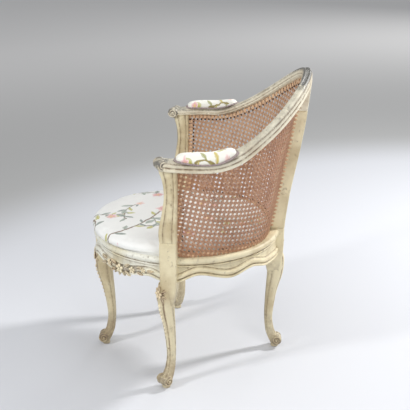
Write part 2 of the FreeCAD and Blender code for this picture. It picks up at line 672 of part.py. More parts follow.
def cabriole(name, key, turn):
    """Makes a leg below its block: the S-shaped shaft, the foot's scroll and the pad under it."""
    if key == "left":
        shift, depth, width = "0", "dims.side_knee_high", "dims.side_knee_high"
    else:
        shift = f"(dims.{key}_block_outer + dims.block_inner) / 2 - dims.{key}_leg_radius"
        depth = f"dims.{key}_block_outer - dims.block_inner - dims.knee_high_inset"
        width = f"dims.{key}_block_width - dims.knee_high_inset"
    first = ("dims.knee_high_height", shift, depth, width, "dims.leg_corner")
    bearing = size("leg_bearing") if key == "left" else bearings[key]
    body = lofted_body(name, [first] + [
        (f"dims.{station}_height", f"dims.{station}_shift", f"dims.{station}_depth", f"dims.{station}_width",
         "dims.leg_corner") for station in LEG_STATIONS])
    scroll = attached_sketch(body, name + "_scroll_outline", "XZ_Plane")
    scroll.addGeometry(Part.Circle(FreeCAD.Vector(size("scroll_shift"), size("scroll_height")), UP,
                                   size("scroll_radius")), False)
    named_constraint(scroll, "round", Sketcher.Constraint("Radius", 0, size("scroll_radius")),
                     "dims.scroll_radius")
    named_constraint(scroll, "shift", Sketcher.Constraint("DistanceX", -1, 1, 0, 3, size("scroll_shift")),
                     "dims.scroll_shift")
    named_constraint(scroll, "rise", Sketcher.Constraint("DistanceY", -1, 1, 0, 3, size("scroll_height")),
                     "dims.scroll_height")
    roll = body.newObject("PartDesign::Pad", name + "_scroll")
    roll.Profile = scroll
    roll.Midplane = True
    bind(roll, Length="dims.scroll_width")
    sole = attached_sketch(body, name + "_sole_outline", "XY_Plane")
    sole.addGeometry(Part.Circle(FreeCAD.Vector(size("pad_shift"), 0), UP, size("pad_radius")), False)
    named_constraint(sole, "round", Sketcher.Constraint("Radius", 0, size("pad_radius")), "dims.pad_radius")
    named_constraint(sole, "shift", Sketcher.Constraint("DistanceX", -1, 1, 0, 3, size("pad_shift")),
                     "dims.pad_shift")
    sole.addConstraint(Sketcher.Constraint("PointOnObject", 0, 3, -1))
    pad = body.newObject("PartDesign::Pad", name + "_pad")
    pad.Profile = sole
    bind(pad, Length="dims.pad_height")
    place_on_axis(body, bearing, radius=size(f"{key}_leg_radius"))
    body.Placement.Rotation = FreeCAD.Rotation(UP, bearing + turn)
    return body


def leg(label, key, turn, extra_blocks, extra_cuts):
    """Makes a whole leg: its block with the mortises for two rails, and the cabriole below it."""
    shaft = cabriole(label + "_shaft", key, turn)
    whole = boolean("fuse", label + "_whole", blocks[key], [shaft] + extra_blocks)
    cutters = [well] + extra_cuts
    for side in (1, -1):
        cutters += list(joints[(key, side)])
    return node(boolean("cut", label, whole, cutters), label)


# Arm stump, with a tenon at each end
def stump_local(radius, across, height, bearing):
    """Returns a point at a radius and a distance across from the side leg's middle."""
    turn = FreeCAD.Rotation(UP, bearing)
    return turn.multVec(FreeCAD.Vector(radius, across, height)) + FreeCAD.Vector(0, size("seat_axis_y"), 0)


def stump_middle(height):
    """Returns the radius of the arm stump's middle at a height."""
    foot = (size("post_inner") + size("side_block_outer")) / 2
    return foot + size("stump_lean") * (height - size("post_top"))


def ring_box(name, bearing, radius, thick, width, low, length):
    """Makes an upright box on the ring of the seat, centred on a radius, for a tenon."""
    box = doc.addObject("Part::Box", name)
    bind(box, Length=f"dims.{thick}", Width=f"dims.{width}", Height=length)
    turn = FreeCAD.Rotation(UP, bearing)
    corner = turn.multVec(FreeCAD.Vector(radius - size(thick) / 2, -size(width) / 2, low))
    box.Placement = FreeCAD.Placement(corner + FreeCAD.Vector(0, size("seat_axis_y"), 0), turn)
    return box


side_bearing = size("side_bearing")
post_tenon = ring_box("post_tenon", side_bearing, stump_middle(size("post_top")), "tenon_thick",
                      "stump_tenon_width", size("post_top") - size("stump_tenon_length"),
                      "dims.stump_tenon_length + dims.tenon_thick")
arm_underside = size("arm_height") - size("arm_thick") / 2
arm_tenon = ring_box("arm_tenon", side_bearing, stump_middle(arm_underside), "tenon_thick", "stump_tenon_width",
                     arm_underside - size("tenon_thick"), "dims.arm_tenon_length + dims.tenon_thick")
stump_pegs = []
for side in (1, -1):
    for mirror in (1, -1):
        bearing = side_bearing if mirror > 0 else 180 - side_bearing
        start = stump_local(size("side_block_outer"), side * size("stump_peg_spread"),
                            size("stump_peg_height"), bearing)
        inward = FreeCAD.Rotation(UP, bearing).multVec(FreeCAD.Vector(-1, 0, 0))
        stump_pegs.append(cylinder(f"stump_peg_{len(stump_pegs)}", "peg_radius", "stump_thick", start, inward))

stump_body = lofted_body("left_stump_shaft", [
    (f"dims.{station}_height",
     "(dims.post_inner + dims.side_block_outer) / 2"
     f" + dims.stump_lean * (dims.{station}_height - dims.post_top)",
     "dims.stump_thick", f"dims.stump_rear + dims.{station}_front", "dims.stump_corner")
    for station in STUMP_STATIONS])
for station, sketch in zip(STUMP_STATIONS, stump_body.Group):
    bind(sketch, AttachmentOffset__Base__y=f"(dims.stump_rear - dims.{station}_front) / 2")
place_on_axis(stump_body, side_bearing)

# Top rail: two arms that end in volutes, and the crest between them
volute_start = stump_local(stump_middle(size("volute_height")) - size("volute_width") / 2,
                           size("volute_shift"), size("volute_height"), side_bearing)
volute = cylinder("left_volute", "volute_radius", "volute_width", volute_start,
                  FreeCAD.Rotation(UP, side_bearing).multVec(FreeCAD.Vector(1, 0, 0)))
arm_span = top_rail_span("left_arm_span", size("crest_bearing"), size("arm_front"))
crest_span = top_rail_span("crest_span", -size("crest_bearing"), size("crest_bearing"))
dowels = []
for mirror in (1, -1):
    centre, out, _, run = top_rail_frame(mirror * size("crest_bearing"))
    for side in (1, -1):
        start = centre + out * (side * size("dowel_spread")) - run * (size("dowel_length") / 2)
        dowels.append(cylinder(f"crest_dowel_{len(dowels)}", "dowel_radius", "dowel_length", start, run))
arm_whole = boolean("fuse", "left_arm_whole", arm_span, [volute])
left_arm = node(boolean("cut", "left_arm_rail", arm_whole, [arm_tenon] + dowels[:2]), "left_arm_rail")
mirrored(left_arm, "right_arm_rail")

stump_trimmed = boolean("cut", "left_stump_trimmed", stump_body, [arm_whole])
stump_tenoned = boolean("fuse", "left_stump_tenoned", stump_trimmed, [post_tenon, arm_tenon])
left_stump = node(boolean("cut", "left_arm_stump", stump_tenoned, stump_pegs), "left_arm_stump")
mirrored(left_stump, "right_arm_stump")

# Back upright, with a tenon at each end
foot_tenon = ring_box("upright_foot_tenon", BACK_BEARING, size("upright_foot_radius"), "tenon_thick",
                      "upright_tenon_width", size("rail_top") - size("upright_tenon_length"),
                      "dims.upright_tenon_length + dims.tenon_thick")
head_tenon = ring_box("upright_head_tenon", BACK_BEARING, size("upright_joint_radius"), "tenon_thick",
                      "upright_tenon_width", size("upright_joint_height") - size("tenon_thick"),
                      "dims.crest_tenon_length + dims.tenon_thick")
upright_pegs = []
for side in (1, -1):
    start = stump_local(size("back_block_outer"), side * size("upright_peg_spread"), size("upright_peg_height"),
                        BACK_BEARING)
    upright_pegs.append(cylinder(f"upright_peg_{len(upright_pegs)}", "peg_radius", "peg_depth", start,
                                 FreeCAD.Vector(0, -1, 0)))
upright_body, tail_body = [lofted_body(name, [
    (f"dims.{station}_height", f"dims.{station}_radius", f"dims.{station}_depth", "dims.upright_width",
     "dims.upright_corner") for station in stations])
    for name, stations in (("back_upright_shaft", UPRIGHT_STATIONS), ("crest_tail", TAIL_STATIONS))]
for piece in (upright_body, tail_body):
    place_on_axis(piece, BACK_BEARING)
upright_tenoned = boolean("fuse", "back_upright_tenoned", upright_body, [foot_tenon, head_tenon])
node(boolean("cut", "back_upright", upright_tenoned, upright_pegs), "back_upright")
crest_whole = boolean("fuse", "crest_whole", crest_span, [tail_body])
node(boolean("cut", "crest_rail", crest_whole, [head_tenon] + dowels), "crest_rail")
node(group("crest_dowels", dowels), "crest_dowels")

# Seat rails and legs
left_front = seat_rail("front_left_rail", "front", "left")
left_back = seat_rail("back_left_rail", "left", "back")
mirrored(left_front, "front_right_rail")
mirrored(left_back, "back_right_rail")
leg("front_leg", "front", 0.0, [], [])
leg("back_leg", "back", 0.0, [], [foot_tenon] + upright_pegs)
left_leg = leg("left_leg", "left", size("side_turn"), [left_post], [post_tenon] + stump_pegs)
mirrored(left_leg, "right_leg")
rail_pegs = [peg for _, peg in joints.values()]
for side in (1, -1):
    twin = doc.addObject("Part::Mirroring", joints[("left", side)][1].Name + "_twin")
    twin.Source = joints[("left", side)][1]
    twin.Normal = FreeCAD.Vector(1, 0, 0)
    rail_pegs.append(twin)
node(group("rail_pegs", rail_pegs), "rail_pegs")
node(group("stump_pegs", stump_pegs), "stump_pegs")
node(group("upright_pegs", upright_pegs), "upright_pegs")


# Cane panels
def cane_section(share):
    """Returns the upright strip of the cane panel at a share of the way from upright to stump."""
    low = size("rail_top") + size("cane_gap")
    bearing = 0.0
    corners = []
    for end in ("low", "high"):
        height = low
        for _ in range(CANE_EDGE_ROUNDS):
            radius = cone_radius(height)
            beside_upright = radius - size("cane_pull" if end == "low" else "cane_pull_high")
            beside_stump = radius - (size("front_draw") if end == "high" else 0.0)
            start = math.degrees(math.asin((size("upright_width") / 2 + size("cane_gap")) / beside_upright))
            side = math.degrees(math.asin((size("stump_rear") + size("cane_gap")) / beside_stump))
            finish = 90 - size("side_bearing") - side
            bearing = start + (finish - start) * share
            if end == "high":
                height = top_rail_underside(bearing) - size("cane_gap")
        drawn = 1 - smooth((bearing - start) / size("cane_pull_reach"))
        pull = size("cane_pull" if end == "low" else "cane_pull_high") * drawn
        if end == "high":
            pull += size("front_draw") * front_share(bearing)
        corners.append((cone_radius(height) - pull, bearing, height))
    half = size("cane_thick") / 2
    low_end, high_end = [on_ring(*corner) for corner in corners]
    mean = math.radians((corners[0][1] + corners[1][1]) / 2)
    out = FreeCAD.Vector(math.sin(mean), math.cos(mean), 0) * half
    points = [low_end - out, low_end + out, high_end + out, high_end - out]
    return Part.makePolygon(points + points[:1])


left_cane = node(solid_feature("left_cane_panel", Part.makeLoft(
    [cane_section(index / CANE_STEPS) for index in range(CANE_STEPS + 1)], True, False)), "left_cane_panel")
mirrored(left_cane, "right_cane_panel")


# Arm pads, on the top rail's upper face
def pad_section(share, width, height, reach):
    """Returns a pad's cross section at a share of its length: an arc, carried on below the base by a reach."""
    bearing = size("arm_pad_rear") + (size("arm_pad_front") - size("arm_pad_rear")) * share
    centre, out, up, _ = top_rail_frame(bearing)
    centre = centre + up * (top_rail_thick(bearing) / 2 + size("arm_pad_lift"))
    swell = size("arm_pad_end") + (1 - size("arm_pad_end")) * math.sqrt(max(0.0, 1 - (2 * share - 1) ** 4))
    half = width * swell / 2
    rise = height * swell
    radius = (half ** 2 + rise ** 2) / (2 * rise)
    low = math.asin((radius - rise) / radius) - math.radians(reach)
    middle = centre + up * (rise - radius)
    left, right = [middle + out * (side * radius * math.cos(low)) + up * (radius * math.sin(low))
                   for side in (-1, 1)]
    top = centre + up * rise
    return Part.Wire([Part.LineSegment(left, right).toShape(), Part.Arc(right, top, left).toShape()])


def pad_solid(name, grow, rise, reach=0.0):
    """Lofts a pad that is larger or smaller than the full one by a margin on every side."""
    length = size("arm_pad_front") - size("arm_pad_rear")
    margin = grow / (math.radians(length) * cone_radius(size("arm_height")))
    wires = []
    for index in range(PAD_STEPS + 1):
        share = index / PAD_STEPS
        stretched = share + (2 * share - 1) * margin
        shape = pad_section(share, size("arm_pad_width") + 2 * grow, rise, reach)
        wires.append(shape if margin == 0 else pad_moved(shape, share, stretched))
    return solid_feature(name, Part.makeLoft(wires, True, False))


def pad_moved(wire, share, stretched):
    """Returns a section moved along the arm to a stretched share of the pad's length."""
    span = size("arm_pad_front") - size("arm_pad_rear")
    start = top_rail_frame(size("arm_pad_rear") + span * share)
    end = top_rail_frame(size("arm_pad_rear") + span * stretched)
    turn = FreeCAD.Rotation(start[3], end[3])
    moved = wire.copy()
    moved.rotate(start[0], turn.Axis, math.degrees(turn.Angle))
    moved.translate(end[0] - start[0])
    return moved


pad_full = pad_solid("arm_pad_full", 0.0, size("arm_pad_height"))
core_height = size("arm_pad_height") - size("arm_pad_cloth")
pad_core = pad_solid("arm_pad_core", -size("arm_pad_cloth"), core_height)
cover_hollow = pad_solid("arm_cover_hollow", -size("arm_pad_cloth"), core_height, size("arm_pad_reach"))
gimp_hollow = pad_solid("arm_gimp_hollow", 0.0, size("arm_pad_height"), size("arm_pad_reach"))
gimp_full = pad_solid("arm_gimp_full", size("gimp_width"), size("gimp_height") * 2)
left_stuffing = node(pad_core, "left_pad_stuffing")
left_cover = node(boolean("cut", "left_pad_cover", pad_full, [cover_hollow]), "left_pad_cover")
left_gimp = node(boolean("cut", "left_pad_gimp", gimp_full, [gimp_hollow]), "left_pad_gimp")
mirrored(left_stuffing, "right_pad_stuffing")
mirrored(left_cover, "right_pad_cover")
mirrored(left_gimp, "right_pad_gimp")


# Drop-in seat
def on_well(obj, bearing=0.0):
    """Centres a turned piece of the drop-in seat on the well."""
    obj.Placement = FreeCAD.Placement(FreeCAD.Vector(0, size("seat_axis_y") + size("well_shift"), 0),
                                      FreeCAD.Rotation(UP, bearing))
    return obj


def well_box(name, across, along, length, width, height, low, bearing=0.0):
    """Makes a box centred at a place across and along the well, turned about the well's middle."""
    box = doc.addObject("Part::Box", name)
    bind(box, Height=f"dims.{height}", Width=f"dims.{width}")
    box.Length = length
    turn = FreeCAD.Rotation(UP, bearing)
    corner = turn.multVec(FreeCAD.Vector(across - length / 2, along - size(width) / 2, low))
    box.Placement = FreeCAD.Placement(
        corner + FreeCAD.Vector(0, size("seat_axis_y") + size("well_shift"), 0), turn)
    return box


tacks = []
for index in range(int(size("tack_count"))):
    angle = 2 * math.pi * (index + 0.5) / size("tack_count")
    spot = FreeCAD.Vector(size("tack_circle") * math.cos(angle),
                          size("tack_circle") * math.sin(angle) + size("seat_axis_y") + size("well_shift"),
                          size("cover_low") - size("tack_head"))
    head = cylinder(f"tack_head_{index}", "tack_radius", "tack_head", spot, UP)
    shank = cylinder(f"tack_shank_{index}", "tack_shank", "tack_length", spot, UP)
    tacks.append(boolean("fuse", f"tack_{index}", head, [shank]))
tack_group = node(group("seat_tacks", tacks), "seat_tacks")

frame_middle = (size("seat_frame_inner") + size("seat_frame_outer")) / 2
tongue_low = (size("seat_frame_low") + size("seat_frame_top") - size("tongue_thick")) / 2
tongues = [well_box(f"seat_tongue_{bearing}", frame_middle, 0.0, size("tongue_width"), "tongue_length",
                    "tongue_thick", tongue_low, bearing) for bearing in SEAT_FRAME_JOINTS]
tongue_group = node(group("seat_frame_tongues", tongues), "seat_frame_tongues")
for name, bearing in (("left", 0), ("back", 90), ("right", 180), ("front", 270)):
    label = f"seat_frame_{name}"
    quarter = on_well(turned_body(label + "_quarter", (
        ("seat_frame_inner", "seat_frame_low", None), ("seat_frame_outer", "seat_frame_low", None),
        ("seat_frame_outer", "seat_frame_top", None), ("seat_frame_inner", "seat_frame_top", None)), 90), bearing)
    node(boolean("cut", label, quarter, [tongue_group, tack_group]), label)

straps = {"webbing_lengthways": [], "webbing_crossways": []}
for index in range(-2, 3):
    offset = index * size("web_pitch")
    half = math.sqrt(size("web_circle") ** 2 - (abs(offset) + size("web_width") / 2) ** 2)
    straps["webbing_crossways"].append(well_box(
        f"strap_cross_{index + 3}", 0.0, offset, 2 * half, "web_width", "web_thick",
        size("seat_frame_top") + size("web_thick")))
    straps["webbing_lengthways"].append(well_box(
        f"strap_long_{index + 3}", 0.0, offset, 2 * half, "web_width", "web_thick", size("seat_frame_top"), 90))
for label, members in straps.items():
    node(group(label, members), label)

base_cloth = doc.addObject("Part::Cylinder", "seat_base_cloth")
bind(base_cloth, Radius="dims.base_cloth_radius", Height="dims.base_cloth_thick")
base_cloth.Placement.Base = FreeCAD.Vector(0, size("seat_axis_y") + size("well_shift"),
                                        size("strap_top") + size("cloth_gap"))
stuffing_turned = on_well(turned_body("seat_stuffing_turned", (
    (None, "seat_frame_low", None), ("stuffing_side", "seat_frame_low", None),
    ("stuffing_side", "cover_tuck", "cover_side_round"),
    ("stuffing_bulge", "cover_bulge_height", "stuffing_edge_round"),
    ("stuffing_shoulder", "stuffing_shoulder_height", "cover_crown_round"), ("crown_flat", "stuffing_crown", None),
    (None, "stuffing_crown", None))))
cover_turned = on_well(turned_body("seat_cover_turned", (
    (None, "cover_low", None), ("cover_side", "cover_low", None), ("cover_side", "cover_tuck", "cover_side_round"),
    ("cover_bulge", "cover_bulge_height", "cover_edge_round"),
    ("cover_shoulder", "cover_shoulder_height", "cover_crown_round"), ("crown_flat", "cover_crown", None),
    (None, "cover_crown", None))))
opening = doc.addObject("Part::Cylinder", "cover_opening")
bind(opening, Radius="dims.cover_return", Height="dims.seat_frame_top - dims.cover_low")
opening.Placement.Base = FreeCAD.Vector(0, size("seat_axis_y") + size("well_shift"), size("cover_low"))
inside = doc.addObject("Part::Cylinder", "stuffing_underside")
bind(inside, Radius="dims.cover_bulge",
     Height="dims.strap_top - dims.cover_low + dims.base_cloth_thick + dims.cloth_gap")
inside.Placement.Base = FreeCAD.Vector(0, size("seat_axis_y") + size("well_shift"), size("cover_low"))
node(base_cloth, "seat_base_cloth")
node(boolean("cut", "seat_stuffing", stuffing_turned, [inside]), "seat_stuffing")
node(boolean("cut", "seat_cover", cover_turned, [stuffing_turned, opening, tack_group]), "seat_cover")

doc.recompute()
failed = [obj.Name for obj in doc.Objects if {"Invalid", "Error"} & set(obj.State)]
if failed:
    raise RuntimeError(f"failed objects: {failed}")
for piece in nodes:
    if piece.Shape.isNull() or not piece.Shape.isValid() or not piece.Shape.Solids:
        raise RuntimeError(f"bad shape: {piece.Label}")
os.makedirs("parts", exist_ok=True)
whole_box = FreeCAD.BoundBox()
for piece in nodes:
    piece.Shape.exportStep(f"parts/{piece.Label}.step")
    whole_box.add(piece.Shape.BoundBox)
    print(piece.Label, len(piece.Shape.Solids), round(piece.Shape.Volume))
print("nodes", len(nodes), "box", whole_box)
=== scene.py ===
"""Looks of the desk armchair: worn cream paint, woven cane, printed cotton and braid.

Metres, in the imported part's own frame: +Z up, +Y towards the back, +X to the sitter's left.
Bearings called psi are in degrees from the middle of the back, towards the sitter's left.
"""

import logging
from dataclasses import dataclass
from enum import Enum
from math import asin, atan2, copysign, cos, degrees, exp, hypot, pi, radians, sin, sqrt
from typing import Callable, NamedTuple, Sequence

import bmesh
import bpy
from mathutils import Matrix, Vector


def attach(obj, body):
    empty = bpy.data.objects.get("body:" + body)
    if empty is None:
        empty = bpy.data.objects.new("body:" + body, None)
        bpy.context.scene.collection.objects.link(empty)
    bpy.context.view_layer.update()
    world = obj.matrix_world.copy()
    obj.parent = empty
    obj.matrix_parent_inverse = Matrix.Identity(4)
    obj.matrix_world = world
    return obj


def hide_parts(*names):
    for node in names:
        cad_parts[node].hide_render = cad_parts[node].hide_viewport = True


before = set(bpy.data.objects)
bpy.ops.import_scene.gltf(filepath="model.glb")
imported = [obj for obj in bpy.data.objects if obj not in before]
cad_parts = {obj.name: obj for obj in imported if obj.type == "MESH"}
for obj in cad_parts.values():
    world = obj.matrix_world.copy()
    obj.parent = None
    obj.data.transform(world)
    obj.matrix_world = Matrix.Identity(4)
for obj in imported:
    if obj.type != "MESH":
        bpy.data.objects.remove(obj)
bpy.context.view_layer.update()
LOG = logging.getLogger("desk_armchair")
UP = Vector((0.0, 0.0, 1.0))
# Holds dirt in the painted wood's hollows, and on the cane marks where painted shade goes.
PATINA_AND_SHADE = "patina"
RUB = "rub"
STRAND = "strand"

Ring = list[Vector]
Row = tuple[float, ...]
Rows = tuple[Row, ...]
Triple = tuple[float, float, float]
Colour = Triple
Wear = Callable[[int, int], tuple[float, float]]
Material = bpy.types.Material
Piece = bpy.types.Object
Socket = bpy.types.NodeSocket
Tree = bpy.types.NodeTree
Verts = list[bmesh.types.BMVert]


def smooth(value: float) -> float:
    """Eases a value from 0 to 1, level at both ends."""
    held = min(max(value, 0.0), 1.0)
    return held * held * (3.0 - 2.0 * held)


def between(first: float, second: float, share: float) -> float:
    """Returns the value at a share of the way from the first to the second."""
    return first + (second - first) * share


def spaced(first: float, last: float, count: int) -> list[float]:
    """Returns evenly spaced values from the first to the last, both included."""
    return [between(first, last, index / (count - 1)) for index in range(count)]


def circle(count: int) -> list[float]:
    """Returns evenly spaced angles around a circle, in radians."""
    return [2 * pi * step / count for step in range(count)]


def eased_curve(points: Sequence[tuple[float, float]], place: float) -> float:
    """Reads a curve that eases from each of its points to the next.

    Args:
        points: places and values, in rising order of place.
        place: where the curve is read.

    Returns:
        The value there, held level past both ends.
    """
    for (start, low), (end, high) in zip(points, points[1:]):
        if place <= end:
            return between(low, high, smooth((place - start) / (end - start)))
    return points[-1][1]


def flowing_curve(rows: Sequence[Row], place: float) -> list[float]:
    """Reads a smooth curve through rows of values, by a Catmull-Rom spline.

    Args:
        rows: rows whose first number is the place, in rising order.
        place: where the curve is read.

    Returns:
        The other numbers of the row at that place.
    """
    last = len(rows) - 2
    index = next((i for i in range(last + 1) if place <= rows[i + 1][0]), last)
    before, start = rows[max(index - 1, 0)], rows[index]
    end, after = rows[index + 1], rows[min(index + 2, last + 1)]
    share = (place - start[0]) / (end[0] - start[0])
    values = []
    for p, q, r, s in zip(before[1:], start[1:], end[1:], after[1:]):
        cubic = -p + 3 * q - 3 * r + s
        square = 2 * p - 5 * q + 4 * r - s
        values.append(0.5 * (2 * q + (r - p) * share + square * share ** 2 + cubic * share ** 3))
    return values


class Moulding(NamedTuple):
    """One point of a moulded profile, with the dirt that lies there and how far it is rubbed."""

    across: float
    rise: float
    patina: float = 0.0
    rub: float = 0.0


Profile = tuple[Moulding, ...]


def mouldings(*points: Row) -> Profile:
    """Returns a moulded profile from rows of across, rise, patina and rub."""
    return tuple(Moulding(*point) for point in points)


def worn_as(profiles: Sequence[Sequence[Moulding]]) -> Wear:
    """Returns the wear of a skin whose rings follow profiles."""
    return lambda row, column: (profiles[row][column].patina, profiles[row][column].rub)


class Side(Enum):
    """The two mirrored halves of the chair, as the sign of X."""

    LEFT = 1
    RIGHT = -1

    @property
    def word(self) -> str:
        """The word that node names use for this half."""
        return self.name.lower()


class Body(Enum):
    """The bodies that pieces ride on."""

    FRAME = "frame"
    SEAT = "seat"


@dataclass(frozen=True)
class ChairShape:
    """The chair's driving sizes, the same as in the part's own frame."""

    axis_y: float = -0.0402
    rail_top: float = 0.408
    rail_outer: float = 0.28
    rail_inner: float = 0.232
    ledge: float = 0.392
    well_radius: float = 0.2595
    well_shift: float = -0.014
    cane_radius: float = 0.266
    back_flare: float = 0.14
    cane_pull: float = 0.014
    cane_pull_high: float = -0.006
    cane_pull_reach: float = 36.0
    arm_height: float = 0.684
    crest_height: float = 0.868
    rise_start: float = 76.0
    arm_thick: float = 0.03
    crest_thick: float = 0.036
    arm_width: float = 0.05
    waist_width: float = 0.026
    crest_width: float = 0.027
    waist_reach: float = 40.0
    arm_width_start: float = 48.0
    arm_width_reach: float = 16.0
    arm_outset: float = 0.005
    crest_outset: float = 0.018
    arm_slant: float = 0.01
    crest_slant: float = 0.005
    crest_bearing: float = 32.0
    arm_front: float = 100.0
    front_draw: float = 0.017
    front_draw_start: float = 70.0
    side_psi: float = 97.5
    post_inner: float = 0.2645
    side_outer: float = 0.29
    post_top: float = 0.457
    stump_lean: float = 0.06
    stump_rear: float = 0.022
    upright_width: float = 0.06

    def at(self, radius: float, psi: float, height: float) -> Vector:
        """Returns the point at a radius from the seat axis, a bearing from the back and a height."""
        angle = radians(psi)
        return Vector((radius * sin(angle), radius * cos(angle) + self.axis_y, height))

    def outward(self, psi: float) -> Vector:
        """Returns the level direction away from the seat axis at a bearing."""
        angle = radians(psi)
        return Vector((sin(angle), cos(angle), 0.0))

    def well_edge(self, psi: float) -> float:
        """Returns the distance of the drop-in seat's well from the seat axis at a bearing."""
        lean = self.well_shift * cos(radians(psi))
        return lean + sqrt(self.well_radius ** 2 - self.well_shift ** 2 + lean ** 2)

    def cone(self, height: float) -> float:
        """Returns the radius of the back's cone at a height."""
        return self.cane_radius + self.back_flare * (height - self.rail_top)

    def crest_share(self, psi: float) -> float:
        """Returns how far the top rail has risen towards the crest, from 0 to 1."""
        return smooth((self.rise_start - abs(psi)) / self.rise_start)

    def front_share(self, psi: float) -> float:
        """Returns how far the cone is drawn in towards the arms' front ends, from 0 to 1."""
        return smooth((abs(psi) - self.front_draw_start) / (self.arm_front - self.front_draw_start))

    def top_middle(self, psi: float) -> Vector:
        """Returns the middle of the top rail at a bearing."""
        share = self.crest_share(psi)
        height = between(self.arm_height, self.crest_height, share)
        outset = between(self.arm_outset, self.crest_outset, share)
        return self.at(self.cone(height) + outset - self.front_draw * self.front_share(psi), psi, height)

    def top_frame(self, psi: float) -> tuple[Vector, Vector, Vector]:
        """Returns the top rail's middle and its outward and upward directions at a bearing."""
        step = 0.05
        run = (self.top_middle(psi + step) - self.top_middle(psi - step)).normalized()
        out = self.outward(psi)
        out = (out - run * out.dot(run)).normalized()
        up = out.cross(run).normalized()
        return self.top_middle(psi), out, up if up.z > 0 else -up

    def top_thick(self, psi: float) -> float:
        """Returns the top rail's height at a bearing."""
        return between(self.arm_thick, self.crest_thick, self.crest_share(psi))

    def top_width(self, psi: float) -> float:
        """Returns the top rail's width at a bearing."""
        crest = between(self.waist_width, self.crest_width, smooth(1 - abs(psi) / self.waist_reach))
        widened = smooth((abs(psi) - self.arm_width_start) / self.arm_width_reach)
        return crest + (self.arm_width - self.waist_width) * widened

    def top_slant(self, psi: float) -> float:
        """Returns how far the top rail's underside rises towards its inner edge at a bearing."""
        return between(self.arm_slant, self.crest_slant, self.crest_share(psi))

    def top_underside(self, psi: float) -> float:
        """Returns the height of the top rail's outer lower edge at a bearing."""
        middle, _, up = self.top_frame(psi)
        return middle.z - self.top_thick(psi) / 2 / up.z

    def stump_middle(self, height: float) -> float:
        """Returns the distance of the arm stump's middle from the seat axis at a height."""
        return (self.post_inner + self.side_outer) / 2 + self.stump_lean * (height - self.post_top)


CHAIR = ChairShape()


class NodeDesk:
    """Adds nodes to a node tree and joins them."""

    def __init__(self, tree: Tree) -> None:
        """Takes the tree that the nodes go into."""
        self.tree = tree

    def add(self, kind: str, inputs: dict | None = None, **settings: object) -> bpy.types.Node:
        """Adds a node.

        Args:
            kind: the node's type name.
            inputs: values or sockets for its inputs, by name or number.
            settings: the node's own properties.

        Returns:
            The new node.
        """
        node = self.tree.nodes.new(kind)
        for name, value in settings.items():
            setattr(node, name, value)
        self.feed(node, inputs or {})
        return node

    def feed(self, node: bpy.types.Node, inputs: dict) -> None:
        """Links sockets to a node's inputs, or sets their values, by name or number."""
        for key, value in inputs.items():
            if isinstance(value, Socket):
                self.tree.links.new(value, node.inputs[key])
            elif node.inputs[key].type == "RGBA":
                node.inputs[key].default_value = (*value, 1.0)
            else:
                node.inputs[key].default_value = value

    def where(self) -> Socket:
        """Returns the place on the object."""
        return self.add("ShaderNodeTexCoord").outputs["Object"]

    def attribute(self, name: str) -> Socket:
        """Returns the value that the mesh carries under a name."""
        return self.add("ShaderNodeAttribute", attribute_name=name).outputs["Fac"]

    def split(self, vector: object) -> Sequence[Socket]:
        """Returns the three parts of a vector."""
        return self.add("ShaderNodeSeparateXYZ", {0: vector}).outputs

    def vector(self, operation: str, inputs: dict, output: str | int = 0) -> Socket:
        """Adds a sum of vectors and returns one of its results."""
        return self.add("ShaderNodeVectorMath", inputs, operation=operation).outputs[output]

    def times(self, first: object, second: object) -> Socket:
        """Returns the product of two values."""
        return self.math("MULTIPLY", first, second)

    def plus(self, first: object, second: object) -> Socket:
        """Returns the sum of two values."""
        return self.math("ADD", first, second)

    def bump(self, height: Socket, strength: float, depth: float) -> Socket:
        """Returns a normal that follows a height, with the depth in metres."""
        node = self.add("ShaderNodeBump", {"Strength": strength, "Distance": depth, "Height": height})
        return node.outputs[0]

    def math(self, operation: str, first: object, second: object = 0.0, clamp: bool = False) -> Socket:
        """Adds a sum of one or two values and returns its result."""
        node = self.add("ShaderNodeMath", {0: first, 1: second}, operation=operation, use_clamp=clamp)
        return node.outputs[0]

    def step(self, value: object, low: float, high: float) -> Socket:
        """Returns a value that eases from 0 at low to 1 at high."""
        node = self.add("ShaderNodeMapRange", {"Value": value, "From Min": low, "From Max": high},
                        interpolation_type="SMOOTHSTEP")
        return node.outputs["Result"]

    def mix(self, share: object, first: object, second: object) -> Socket:
        """Returns a colour that goes from the first to the second."""
        node = self.add("ShaderNodeMix", {0: share, 6: first, 7: second}, data_type="RGBA")
        return node.outputs[2]

    def noise(self, vector: object, scale: float, detail: float = 4.0, rough: float = 0.55) -> Socket:
        """Returns a cloud of values around one half."""
        node = self.add("ShaderNodeTexNoise", {"Vector": vector, "Scale": scale, "Detail": detail,
                                               "Roughness": rough})
        return node.outputs["Fac"]

    def place(self, vector: object, spot: Sequence[float], turn: float, scale: Sequence[float]) -> Socket:
        """Returns a vector measured in a frame that stands at a spot, is turned and has its own scale."""
        node = self.add("ShaderNodeMapping", {
            "Vector": vector, "Location": (spot[0], spot[1], 0.0), "Rotation": (0.0, 0.0, turn),
            "Scale": (scale[0], scale[1], 1.0)}, vector_type="TEXTURE")
        return node.outputs[0]


def new_group(name: str, inputs: dict[str, str], outputs: dict[str, str]) -> tuple[Tree, NodeDesk]:
    """Starts a shader node group with named sockets.

    Args:
        name: the group's name.
        inputs: socket types by input name.
        outputs: socket types by output name.

    Returns:
        The group, and a desk to fill it from.
    """
    tree = bpy.data.node_groups.new(name, "ShaderNodeTree")
    for in_out, sockets in (("INPUT", inputs), ("OUTPUT", outputs)):
        for label, kind in sockets.items():
            tree.interface.new_socket(label, in_out=in_out, socket_type=kind)
    return tree, NodeDesk(tree)


